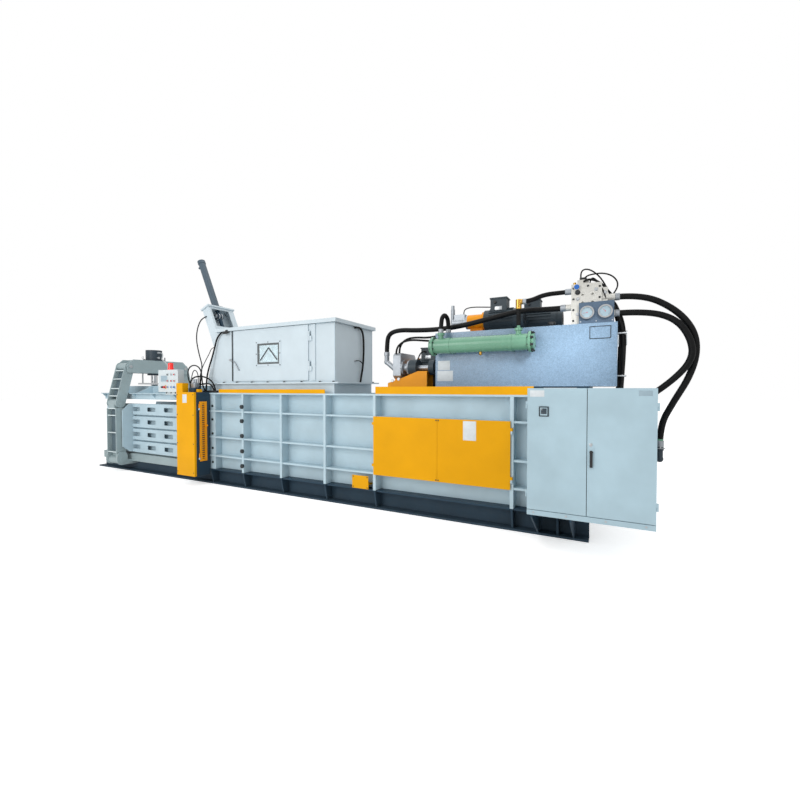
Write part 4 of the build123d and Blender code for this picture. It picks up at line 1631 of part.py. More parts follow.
os.makedirs("parts", exist_ok=True)
for name, make in NODES.items():
    export_step(make(), os.path.join("parts", name + ".step"))
    print(name)
print(len(NODES), "pieces")
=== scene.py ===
"""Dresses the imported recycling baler: finishes, hoses, fittings, fixings, studio and camera."""

import itertools
import logging
import math
from collections.abc import Iterable, Sequence
from dataclasses import dataclass
from enum import Enum

import bmesh
import bpy
from mathutils import Matrix, Vector

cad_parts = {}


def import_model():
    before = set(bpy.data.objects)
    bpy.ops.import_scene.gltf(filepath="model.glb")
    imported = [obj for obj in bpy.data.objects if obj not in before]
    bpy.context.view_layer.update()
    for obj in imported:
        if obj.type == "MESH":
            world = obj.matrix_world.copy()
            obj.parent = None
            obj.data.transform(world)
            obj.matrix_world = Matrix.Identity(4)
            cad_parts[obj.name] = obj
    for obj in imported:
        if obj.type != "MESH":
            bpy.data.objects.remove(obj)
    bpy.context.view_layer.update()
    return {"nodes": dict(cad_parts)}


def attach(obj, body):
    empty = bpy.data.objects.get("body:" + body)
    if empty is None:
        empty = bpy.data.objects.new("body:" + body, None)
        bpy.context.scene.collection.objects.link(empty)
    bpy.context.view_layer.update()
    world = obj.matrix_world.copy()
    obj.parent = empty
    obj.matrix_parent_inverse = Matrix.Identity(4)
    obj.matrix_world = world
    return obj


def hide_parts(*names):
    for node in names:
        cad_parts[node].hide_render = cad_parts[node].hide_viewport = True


LOG = logging.getLogger("baler")
Point = tuple[float, float, float]
Span = tuple[float, float]
Colour = tuple[float, float, float, float]
# Two sizes that go together, such as a fixing's radius and its height, which is negative along -Y and -X.
Pair = tuple[float, float]
# The back of a thin plate stands this far off the paint, so that no two faces coincide.
LIFT = 0.0001


class Axis(Enum):
    """The direction that a turned piece points in."""

    X = Matrix.Rotation(math.radians(90), 4, "Y")
    Y = Matrix.Rotation(math.radians(-90), 4, "X")
    Z = Matrix.Identity(4)


class Spray(Enum):
    """How a paint film lies on the steel."""

    SATIN = 0.42
    GLOSS = 0.25
    DULL = 0.6


def linear(code: str) -> Colour:
    """Turns an sRGB hex colour to linear light.

    Args:
        code: Six hex digits after a hash sign.

    Returns:
        The linear red, green and blue with an alpha of one.
    """
    values = [int(code[i:i + 2], 16) / 255 for i in (1, 3, 5)]
    return (*[v / 12.92 if v <= 0.04045 else ((v + 0.055) / 1.055) ** 2.4 for v in values], 1.0)


def node(tree: bpy.types.NodeTree, kind: str, settings: dict | None = None, **links) -> bpy.types.Node:
    """Adds one shader node with its settings and links.

    Args:
        tree: The material's node tree.
        kind: The node's type name without its prefix.
        settings: Attributes of the node, or values of its inputs by name or number.
        links: Output sockets by the input's name, with spaces written as underscores.

    Returns:
        The new node.
    """
    made = tree.nodes.new("ShaderNode" + kind)
    for key, value in (settings or {}).items():
        if isinstance(key, int) or key in made.inputs:
            made.inputs[key].default_value = value
        else:
            setattr(made, key, value)
    for key, socket in links.items():
        name = int(key[1:]) if key[0] == "i" and key[1:].isdigit() else key.replace("_", " ")
        tree.links.new(socket, made.inputs[name])
    return made


def ramp(made: bpy.types.Node, stops: list[tuple[float, Colour]]) -> bpy.types.Node:
    """Sets the stops of a colour ramp.

    Args:
        made: The colour ramp node.
        stops: Places from 0 to 1 with their colours.

    Returns:
        The same node.
    """
    band = made.color_ramp
    while len(band.elements) < len(stops):
        band.elements.new(0.5)
    for element, (place, colour) in zip(band.elements, stops):
        element.position = place
        element.color = colour
    return made


def grey(level: float) -> Colour:
    """A grey of the given level."""
    return (level, level, level, 1.0)


def tinted(base: Colour, factor: float, lift: float = 0.0) -> Colour:
    """A lighter or darker tone of a colour, no brighter than white."""
    return (*(min(1.0, value * factor + lift) for value in base[:3]), 1.0)


def fresh_tree(owner: bpy.types.Material | bpy.types.World) -> bpy.types.NodeTree:
    """Switches the nodes of a material or world on and clears them.

    Args:
        owner: The material or world.

    Returns:
        Its empty node tree.
    """
    owner.use_nodes = True
    owner.node_tree.nodes.clear()
    return owner.node_tree


def placed(name: str, data: bpy.types.ID) -> bpy.types.Object:
    """Adds an object to the scene.

    Args:
        name: The object's name.
        data: Its mesh, curve, lamp or camera.

    Returns:
        The new object, at the origin.
    """
    made = bpy.data.objects.new(name, data)
    bpy.context.scene.collection.objects.link(made)
    return made


def around(middle: float, half: float) -> Span:
    """A span of the given half width about its middle."""
    return (middle - half, middle + half)


def inset(span: Span, by: float) -> Span:
    """A span drawn in by the same length at both ends."""
    return (span[0] + by, span[1] - by)


def label(face: float, thick: float) -> Span:
    """The Y span of a thin plate on a face that looks towards the operator."""
    return (face - thick, face - LIFT)


def grid(*ways: float | tuple[float, ...]) -> Iterable[Point]:
    """Every place that takes one of the values given for X, for Y and for Z."""
    return itertools.product(*(way if isinstance(way, tuple) else (way,) for way in ways))


def circle(centre: Point, axis: Axis, radius: float, count: int, start: float = 0.5) -> list[Point]:
    """Spreads places evenly round an axis along X or Z.

    Args:
        centre: The middle of the circle.
        axis: The axis that it lies round.
        radius: Its radius in metres.
        count: The number of places.
        start: Where the first place lies, in steps.

    Returns:
        The places.
    """
    x, y, z = centre
    turns = [math.tau * (step + start) / count for step in range(count)]
    if axis is Axis.X:
        return [(x, y + radius * math.cos(turn), z + radius * math.sin(turn)) for turn in turns]
    return [(x + radius * math.cos(turn), y + radius * math.sin(turn), z) for turn in turns]


@dataclass(frozen=True)
class Finish:
    """A finish that builds one material."""

    name: str

    def shader(self, tree: bpy.types.NodeTree, place: bpy.types.NodeSocket) -> bpy.types.Node:
        """Adds the surface shader; each finish writes its own."""
        raise NotImplementedError

    def material(self) -> bpy.types.Material:
        """Builds the material, or returns it if it was built before.

        Returns:
            The material of this finish.
        """
        made = bpy.data.materials.get(self.name)
        if made is not None:
            return made
        made = bpy.data.materials.new(self.name)
        tree = fresh_tree(made)
        place = node(tree, "TexCoord").outputs["Object"]
        node(tree, "OutputMaterial", Surface=self.shader(tree, place).outputs["BSDF"])
        return made


@dataclass(frozen=True)
class SprayedSteel(Finish):
    """Two-pack paint sprayed on welded plate: slight orange peel, dust near the floor, faint mottling."""

    colour: str
    spray: Spray = Spray.SATIN
    dust: float = 0.25
    dust_height: float = 0.5
    mottle: float = 0.05
    peel: float = 0.05
    fleck: float = 0.0
    sheen: float = 0.4

    def shader(self, tree: bpy.types.NodeTree, place: bpy.types.NodeSocket) -> bpy.types.Node:
        """Adds the paint.

        Args:
            tree: The material's node tree.
            place: Object coordinates.

        Returns:
            The shader node.
        """
        base = linear(self.colour)
        # Film thickness varies over about 400 mm, so the colour drifts a little.
        drift = node(tree, "TexNoise", {"Scale": 2.5, "Detail": 3.0, "Roughness": 0.55}, Vector=place)
        tone = ramp(node(tree, "ValToRGB", Fac=drift.outputs["Fac"]),
                    [(0.3, tinted(base, 1 - self.mottle * 2)), (0.7, tinted(base, 1 + self.mottle))])
        colour = tone.outputs["Color"]
        if self.fleck:
            # Metallic flakes and the hammer texture of tank enamel, drawn at 8 mm to show in the picture.
            flakes = node(tree, "TexNoise", {"Scale": 120.0, "Detail": 2.0, "Roughness": 0.7}, Vector=place)
            spots = ramp(node(tree, "ValToRGB", Fac=flakes.outputs["Fac"]),
                         [(0.35, grey(1 - self.fleck)), (0.65, grey(1 + self.fleck))])
            colour = node(tree, "Mix", {"data_type": "RGBA", "blend_type": "MULTIPLY", 0: 1.0},
                          i6=colour, i7=spots.outputs["Color"]).outputs[2]
        # Floor dust settles on the lowest half metre, broken up by streaks 60 mm wide.
        height = node(tree, "SeparateXYZ", Vector=place).outputs["Z"]
        streaks = node(tree, "TexNoise", {"Scale": 9.0, "Detail": 5.0, "Roughness": 0.65}, Vector=place)
        fade = node(tree, "MapRange", {"From Max": self.dust_height, "To Min": 1.0, "To Max": 0.0},
                    Value=height)
        amount = node(tree, "Math", {"operation": "MULTIPLY"}, i0=fade.outputs[0], i1=streaks.outputs["Fac"])
        amount = node(tree, "Math", {"operation": "MULTIPLY", 1: self.dust}, i0=amount.outputs[0])
        colour = node(tree, "Mix", {"data_type": "RGBA", 7: linear("#8E8778")}, i0=amount.outputs[0],
                      i6=colour)
        # Orange peel at 6 mm with a shallow weld-heat ripple at 90 mm.
        peel = node(tree, "TexNoise", {"Scale": 160.0, "Detail": 1.0}, Vector=place)
        ripple = node(tree, "TexNoise", {"Scale": 11.0, "Detail": 1.0}, Vector=place)
        mixed = node(tree, "Math", {"operation": "MULTIPLY_ADD", 1: 6.0}, i0=ripple.outputs["Fac"],
                     i2=peel.outputs["Fac"])
        bump = node(tree, "Bump", {"Strength": self.peel, "Distance": 0.002}, Height=mixed.outputs[0])
        rough = node(tree, "MapRange", {"To Min": self.spray.value - 0.05, "To Max": self.spray.value + 0.1},
                     Value=streaks.outputs["Fac"])
        return node(tree, "BsdfPrincipled",
                    {"IOR": 1.5, "Specular IOR Level": self.sheen, "Coat Weight": self.sheen * 0.15,
                     "Coat Roughness": 0.2},
                    Base_Color=colour.outputs[2], Roughness=rough.outputs[0], Normal=bump.outputs[0])


@dataclass(frozen=True)
class WorkedMetal(Finish):
    """Bare metal with tool marks: turned rod, ground plate, zinc-plated block or cast body."""

    colour: str
    roughness: float
    marks: Point
    depth: float
    metallic: float = 1.0
    stain: float = 0.12

    def shader(self, tree: bpy.types.NodeTree, place: bpy.types.NodeSocket) -> bpy.types.Node:
        """Adds the metal.

        Args:
            tree: The material's node tree.
            place: Object coordinates.

        Returns:
            The shader node.
        """
        base = linear(self.colour)
        stretch = node(tree, "Mapping", {"Scale": self.marks}, Vector=place)
        lines = node(tree, "TexNoise", {"Scale": 1.0, "Detail": 4.0, "Roughness": 0.6},
                     Vector=stretch.outputs[0])
        patch = node(tree, "TexNoise", {"Scale": 14.0, "Detail": 4.0}, Vector=place)
        tone = ramp(node(tree, "ValToRGB", Fac=patch.outputs["Fac"]),
                    [(0.35, tinted(base, 1 - self.stain)), (0.65, base)])
        rough = node(tree, "MapRange", {"To Min": self.roughness - 0.06, "To Max": self.roughness + 0.14},
                     Value=lines.outputs["Fac"])
        bump = node(tree, "Bump", {"Strength": self.depth, "Distance": 0.001}, Height=lines.outputs["Fac"])
        return node(tree, "BsdfPrincipled", {"Metallic": self.metallic}, Base_Color=tone.outputs["Color"],
                    Roughness=rough.outputs[0], Normal=bump.outputs[0])


@dataclass(frozen=True)
class MouldedPlastic(Finish):
    """Injection-moulded plastic with a fine spark-eroded grain."""

    colour: str
    roughness: float = 0.45
    coat: float = 0.0
    glow: float = 0.0

    def shader(self, tree: bpy.types.NodeTree, place: bpy.types.NodeSocket) -> bpy.types.Node:
        """Adds the plastic.

        Args:
            tree: The material's node tree.
            place: Object coordinates.

        Returns:
            The shader node.
        """
        base = linear(self.colour)
        grain = node(tree, "TexNoise", {"Scale": 700.0, "Detail": 2.0}, Vector=place)
        wear = node(tree, "TexNoise", {"Scale": 25.0, "Detail": 3.0}, Vector=place)
        tone = ramp(node(tree, "ValToRGB", Fac=wear.outputs["Fac"]),
                    [(0.35, base), (0.75, tinted(base, 1.12, 0.002))])
        bump = node(tree, "Bump", {"Strength": 0.08, "Distance": 0.0005}, Height=grain.outputs["Fac"])
        rough = node(tree, "MapRange", {"To Min": self.roughness - 0.05, "To Max": self.roughness + 0.1},
                     Value=wear.outputs["Fac"])
        return node(tree, "BsdfPrincipled",
                    {"IOR": 1.49, "Coat Weight": self.coat, "Emission Color": base,
                     "Emission Strength": self.glow},
                    Base_Color=tone.outputs["Color"], Roughness=rough.outputs[0], Normal=bump.outputs[0])


@dataclass(frozen=True)
class HoseRubber(Finish):
    """Oil-resistant hose cover with a wrapped cloth texture about 3 mm wide."""

    colour: str = "#090A0B"

    def shader(self, tree: bpy.types.NodeTree, place: bpy.types.NodeSocket) -> bpy.types.Node:
        """Adds the rubber.

        Args:
            tree: The material's node tree.
            place: Object coordinates.

        Returns:
            The shader node.
        """
        base = linear(self.colour)
        wrap = node(tree, "TexNoise", {"Scale": 330.0, "Detail": 2.0}, Vector=place)
        dust = node(tree, "TexNoise", {"Scale": 22.0, "Detail": 4.0}, Vector=place)
        tone = ramp(node(tree, "ValToRGB", Fac=dust.outputs["Fac"]),
                    [(0.4, base), (0.75, tinted(base, 1.6, 0.002))])
        bump = node(tree, "Bump", {"Strength": 0.2, "Distance": 0.001}, Height=wrap.outputs["Fac"])
        rough = node(tree, "MapRange", {"To Min": 0.38, "To Max": 0.6}, Value=dust.outputs["Fac"])
        return node(tree, "BsdfPrincipled", {"IOR": 1.52, "Specular IOR Level": 0.16},
                    Base_Color=tone.outputs["Color"], Roughness=rough.outputs[0], Normal=bump.outputs[0])


@dataclass(frozen=True)
class ClearSheet(Finish):
    """Clear polycarbonate sheet, faintly grey with fine scuffs."""

    colour: str = "#DDE6E8"

    def shader(self, tree: bpy.types.NodeTree, place: bpy.types.NodeSocket) -> bpy.types.Node:
        """Adds the clear sheet.

        Args:
            tree: The material's node tree.
            place: Object coordinates.

        Returns:
            The shader node.
        """
        scuffs = node(tree, "TexNoise", {"Scale": 30.0, "Detail": 5.0}, Vector=place)
        rough = node(tree, "MapRange", {"To Min": 0.04, "To Max": 0.18}, Value=scuffs.outputs["Fac"])
        tone = ramp(node(tree, "ValToRGB", Fac=scuffs.outputs["Fac"]),
                    [(0.3, linear(self.colour)), (0.8, linear("#C9D6D9"))])
        return node(tree, "BsdfPrincipled", {"IOR": 1.58, "Transmission Weight": 0.85},
                    Base_Color=tone.outputs["Color"], Roughness=rough.outputs[0])


BODY = SprayedSteel("body_two_pack_paint", "#B1C7D1", dust=0.12, dust_height=0.45)
# Painted light: the body's paint made lighter, since the hopper catches more light from above.
HOPPER_LIT = SprayedSteel("hopper_paint_with_painted_light", "#C2CFD6", dust=0.0, mottle=0.03)
POLE = SprayedSteel("press_cylinder_enamel", "#465662", dust=0.0)
BODY_BOX = SprayedSteel("cabinet_powder_coat", "#A9C2CD", dust=0.1, dust_height=0.6, peel=0.03)
PORTAL = SprayedSteel("portal_two_pack_paint", "#97A8AB", dust=0.15, dust_height=0.5)
YELLOW = SprayedSteel("yellow_two_pack_paint", "#DF9F00", dust=0.04, dust_height=0.6, mottle=0.03,
                      sheen=0.12)
ORANGE = SprayedSteel("orange_casting_enamel", "#F09C14", dust=0.0, mottle=0.06, sheen=0.2)
BASE = SprayedSteel("charcoal_skid_paint", "#2B4050", dust=0.1, dust_height=0.3, sheen=0.14)
TANK = SprayedSteel("hammered_tank_enamel", "#7F99B1", Spray.GLOSS, dust=0.0, mottle=0.05, fleck=0.22,
                    peel=0.12)
COOLER = SprayedSteel("cooler_gloss_enamel", "#6B9C82", Spray.GLOSS, dust=0.0, mottle=0.04)
BARREL = SprayedSteel("cylinder_charcoal_enamel", "#38434C", dust=0.05, sheen=0.25)
GAUGE_PLATE = SprayedSteel("gauge_plate_enamel", "#51657A", Spray.GLOSS, dust=0.0, fleck=0.2, peel=0.12)
# Painted shade: darker sheets laid on the arms' webs stand for the shade inside their pockets.
POCKET_SHADE = SprayedSteel("portal_pocket_painted_shade", "#5F6F77", Spray.DULL, dust=0.1, sheen=0.2)
# Painted highlight: pale strips on the arms' rung edges stand for the light that their faces catch.
RUNG_HIGHLIGHT = SprayedSteel("portal_rung_painted_highlight", "#D9E6E8", Spray.GLOSS, dust=0.0)
MOTOR = SprayedSteel("motor_casting_enamel", "#38434A", dust=0.0, mottle=0.08, peel=0.2, sheen=0.25)
RAM = SprayedSteel("ram_worn_paint", "#8A9698", Spray.DULL, dust=0.3, dust_height=1.4, mottle=0.12)
BLACK_BOLT = SprayedSteel("black_oxide_fixings", "#24282B", dust=0.0)
WEAR = WorkedMetal("hot_rolled_wear_plate", "#8D9091", 0.42, (3.0, 60.0, 60.0), 0.1)
GROUND = WorkedMetal("ground_blade_steel", "#A9ADAF", 0.3, (200.0, 6.0, 200.0), 0.08)
CHROME = WorkedMetal("hard_chrome_rod", "#D2D4D6", 0.12, (30.0, 30.0, 30.0), 0.01, stain=0.04)
CAST = WorkedMetal("cast_pump_aluminium", "#A6ACB2", 0.42, (180.0, 180.0, 180.0), 0.25, metallic=0.75)
ZINC = WorkedMetal("zinc_plated_fixings", "#BFC3C6", 0.34, (8.0, 90.0, 90.0), 0.05, metallic=0.7,
                   stain=0.08)
BLOCK = WorkedMetal("nickel_plated_block", "#CFCEC8", 0.38, (8.0, 90.0, 90.0), 0.05, metallic=0.45,
                    stain=0.06)
BRASS = WorkedMetal("turned_brass", "#C79B4A", 0.25, (120.0, 120.0, 120.0), 0.05)
BLACK = MouldedPlastic("black_nylon", "#16181A")
RED = MouldedPlastic("red_button_plastic", "#C21B17", 0.3)
BLUE = MouldedPlastic("blue_button_plastic", "#1F62B4", 0.3)
WHITE = MouldedPlastic("white_label_film", "#C9CFD2")
LENS = MouldedPlastic("red_beacon_lens", "#E2261C", 0.18, coat=0.5, glow=0.25)
PANE_GLOW = MouldedPlastic("pane_backing_painted_glow", "#E9F1F6", 0.5, glow=0.8)
# Painted light: a pale sheet behind the hopper door's pane that glows, though it is no lamp.
TAPE = MouldedPlastic("silver_sealing_tape", "#74838F", 0.3)
SCREEN = MouldedPlastic("display_glass", "#2B3A45", 0.12, coat=0.4)
DIAL = MouldedPlastic("gauge_face_enamel", "#93A8B3", 0.3)
BOX = SprayedSteel("control_box_powder_coat", "#C9D2D5", dust=0.0, mottle=0.02, peel=0.03)
RUBBER = HoseRubber("wrapped_hose_rubber")
PALE_CABLE = HoseRubber("pale_cable_sheath", "#9AA0A2")
PANE = ClearSheet("scuffed_polycarbonate")

NODE_FINISH = {
    "base_skid": BASE, "side_wall_front": BODY, "side_wall_rear": BODY, "chamber_floor": WEAR,
    "roof_plates": BODY, "shear_blade": GROUND, "rear_end_frame": BODY, "wall_bolts": BLACK_BOLT,
    "trim_strips": YELLOW, "service_door_left": YELLOW, "service_door_right": YELLOW, "door_hinges": BODY,
    "ram_platen": RAM, "ram_rod": CHROME, "main_cylinder": BARREL, "exit_frame": PORTAL,
    "side_press_near": BODY, "side_press_far": BODY, "top_press_plate": BODY, "arm_lower_near": PORTAL,
    "arm_lower_far": PORTAL, "arm_upper_near": PORTAL, "arm_upper_far": PORTAL, "squeeze_beam": PORTAL,
    "squeeze_cylinder": BARREL, "squeeze_rod": CHROME, "tying_frame": BASE, "tying_cover": YELLOW,
    "guard_door": ORANGE, "needle_carriage": BASE, "control_box": BOX, "beacon": LENS,
    "stop_button": RED, "start_button": BLUE, "selector_switch": BLACK, "hopper": HOPPER_LIT,
    "hopper_door": HOPPER_LIT, "door_window": PANE, "press_tower": HOPPER_LIT, "press_cylinder": POLE,
    "press_pusher": BASE, "power_deck": BASE, "power_tank": TANK, "oil_cooler": COOLER,
    "bell_housings": ORANGE, "pump_motors": MOTOR, "oil_pumps": CAST, "valve_manifold": BLOCK,
    "gauge_panel": GAUGE_PLATE, "cabinet_body": BODY_BOX, "cabinet_door_left": BODY_BOX,
    "cabinet_door_right": BODY_BOX, "cabinet_handle": BLACK, "cabinet_brackets": BASE,
}


class Batch:
    """Gathers simple shapes of one finish into one piece on one body."""

    # Vertices closer than this are one, and edges sharper than this stay sharp under smooth shading.
    MERGE = 1e-6
    SHARP = math.radians(38)
    # A rounding takes at most this share of the shortest side, so that it can't fold over.
    ROUND_SHARE = 0.45
    # The width of a bolt's washer to that of its head, and the washer's share of the whole height.
    WASHER_WIDE = 1.25
    WASHER_SHARE = 0.2

    def __init__(self, name: str, finish: Finish, body: str = "frame") -> None:
        """Starts an empty piece.

        Args:
            name: The piece's name.
            finish: Its finish.
            body: The body it rides on.
        """
        self.name, self.finish, self.body = name, finish, body
        self.mesh = bmesh.new()

    def add(self, part: bmesh.types.BMesh, place: Matrix | None = None) -> "Batch":
        """Moves a shape to its place and adds it.

        Args:
            part: The shape, which is freed.
            place: Its turn and place, or None where it stands in its place.

        Returns:
            The batch, so that shapes can be added in a row.
        """
        if place is not None:
            bmesh.ops.transform(part, matrix=place, verts=part.verts)
        data = bpy.data.meshes.new("part")
        part.to_mesh(data)
        part.free()
        self.mesh.from_mesh(data)
        bpy.data.meshes.remove(data)
        return self

    def box(self, x: Span, y: Span, z: Span, bevel: float = 0.0015) -> "Batch":
        """Adds a block with softened edges.

        Args:
            x: Its lowest and highest X in metres.
            y: Its lowest and highest Y.
            z: Its lowest and highest Z.
            bevel: The edge rounding, or 0.

        Returns:
            The batch.
        """
        low, high = (Vector(corner) for corner in zip(x, y, z))
        size = high - low
        part = bmesh.new()
        bmesh.ops.create_cube(part, size=1.0,
                              matrix=Matrix.Translation((low + high) / 2) @ Matrix.Diagonal((*size, 1.0)))
        if bevel:
            bmesh.ops.bevel(part, geom=part.edges[:], offset=min(bevel, min(size) * self.ROUND_SHARE),
                            segments=2, profile=0.5, affect="EDGES", material=-1)
        return self.add(part)

    def bar(self, centre: Point, size: Point, turn: Matrix) -> "Batch":
        """Adds a sharp block that is turned about its centre.

        Args:
            centre: Its middle in metres.
            size: Its sides before it is turned.
            turn: The rotation.

        Returns:
            The batch.
        """
        part = bmesh.new()
        bmesh.ops.create_cube(part, size=1.0,
                              matrix=Matrix.Translation(centre) @ turn @ Matrix.Diagonal((*size, 1.0)))
        return self.add(part)

    def turned(self, at: Point, axis: Axis, outline: list[Span], steps: int = 32) -> "Batch":
        """Spins an outline round an axis.

        Args:
            at: The foot of the axis in metres.
            axis: The axis direction.
            outline: Radius and height pairs, as a closed loop or with both ends on the axis.
            steps: The number of facets.

        Returns:
            The batch.
        """
        part = bmesh.new()
        points = [part.verts.new((radius, 0.0, height)) for radius, height in outline]
        edges = [part.edges.new(pair) for pair in zip(points, points[1:])]
        bmesh.ops.spin(part, geom=points + edges, cent=(0, 0, 0), axis=(0, 0, 1), angle=math.tau, steps=steps,
                       use_merge=True)
        bmesh.ops.remove_doubles(part, verts=part.verts, dist=self.MERGE)
        bmesh.ops.recalc_face_normals(part, faces=part.faces)
        return self.add(part, Matrix.Translation(at) @ axis.value)

    def disc(self, at: Point, axis: Axis, radius: float, height: float, round_off: float = 0.001,
             steps: int = 28) -> "Batch":
        """Adds a round plate or bar with softened rims.

        Args:
            at: The middle of its first face.
            axis: The axis direction.
            radius: Its radius.
            height: Its length along the axis, negative to go the other way.
            round_off: The rim rounding.
            steps: The number of facets.

        Returns:
            The batch.
        """
        rim = min(round_off, abs(height) * self.ROUND_SHARE, radius * self.ROUND_SHARE)
        rise = math.copysign(rim, height)
        return self.turned(at, axis, [(0, 0), (radius - rim, 0), (radius, rise), (radius, height - rise),
                                      (radius - rim, height), (0, height)], steps)

    def ring(self, at: Point, axis: Axis, inner: float, outer: float, height: float) -> "Batch":
        """Adds a flat ring."""
        return self.turned(at, axis, [(inner, 0), (outer, 0), (outer, height), (inner, height), (inner, 0)])

    def bolt(self, at: Point, axis: Axis, radius: float, height: float) -> "Batch":
        """Adds a hexagon head on a round washer.

        Args:
            at: The foot of the washer.
            axis: The axis direction.
            radius: The head's radius across its corners.
            height: The height of head and washer, negative to go the other way.

        Returns:
            The batch.
        """
        self.disc(at, axis, radius * self.WASHER_WIDE, height * self.WASHER_SHARE, 0.0005, 16)
        part = bmesh.new()
        bmesh.ops.create_cone(part, cap_ends=True, segments=6, radius1=radius, radius2=radius,
                              depth=abs(height) * (1 - self.WASHER_SHARE))
        rims = [edge for edge in part.edges if abs(edge.verts[0].co.z - edge.verts[1].co.z) < self.MERGE]
        bmesh.ops.bevel(part, geom=rims, offset=radius * 0.08, segments=1, profile=0.5, affect="EDGES",
                        material=-1)
        bmesh.ops.translate(part, vec=(0, 0, height * (1 + self.WASHER_SHARE) / 2), verts=part.verts)
        return self.add(part, Matrix.Translation(at) @ axis.value)

    def discs(self, places: Iterable[Point], axis: Axis, radius: float, height: float,
              round_off: float = 0.001, steps: int = 28) -> "Batch":
        """Adds the same disc at every place.

        Args:
            places: The middles of their first faces.
            axis: The axis direction.
            radius: Their radius.
            height: Their length along the axis, negative to go the other way.
            round_off: The rim rounding.
            steps: The number of facets.

        Returns:
            The batch.
        """
        for at in places:
            self.disc(at, axis, radius, height, round_off, steps)
        return self

    def bolts(self, places: Iterable[Point], axis: Axis, radius: float, height: float) -> "Batch":
        """Adds the same bolt at every place.

        Args:
            places: The feet of their washers.
            axis: The axis direction.
            radius: The heads' radius across their corners.
            height: The height of head and washer, negative to go the other way.

        Returns:
            The batch.
        """
        for at in places:
            self.bolt(at, axis, radius, height)
        return self

    def rod(self, start: Point, end: Point, radius: float, steps: int = 8) -> "Batch":
        """Adds a round bar, such as a weld bead.

        Args:
            start: Its first end in metres.
            end: Its other end.
            radius: Its radius.
            steps: The number of facets.

        Returns:
            The batch.
        """
        run = Vector(end) - Vector(start)
        part = bmesh.new()
        bmesh.ops.create_cone(part, cap_ends=True, segments=steps, radius1=radius, radius2=radius,
                              depth=run.length)
        turn = run.to_track_quat("Z", "Y").to_matrix().to_4x4()
        return self.add(part, Matrix.Translation((Vector(start) + Vector(end)) / 2) @ turn)

    def done(self, smooth: bool = True) -> None:
        """Turns the batch into a piece of the object.

        Args:
            smooth: Whether faces shade smoothly up to their sharp edges.
        """
        mesh = self.mesh
        bmesh.ops.remove_doubles(mesh, verts=mesh.verts, dist=self.MERGE)
        bmesh.ops.recalc_face_normals(mesh, faces=mesh.faces)
        if smooth:
            for face in mesh.faces:
                face.smooth = True
            for edge in mesh.edges:
                if len(edge.link_faces) == 2 and edge.calc_face_angle(0.0) > self.SHARP:
                    edge.smooth = False
        data = bpy.data.meshes.new(self.name)
        mesh.to_mesh(data)
        mesh.free()
        data.materials.append(self.finish.material())
        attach(placed(self.name, data), self.body)
        LOG.info("piece %s on %s: %d faces", self.name, self.body, len(data.polygons))


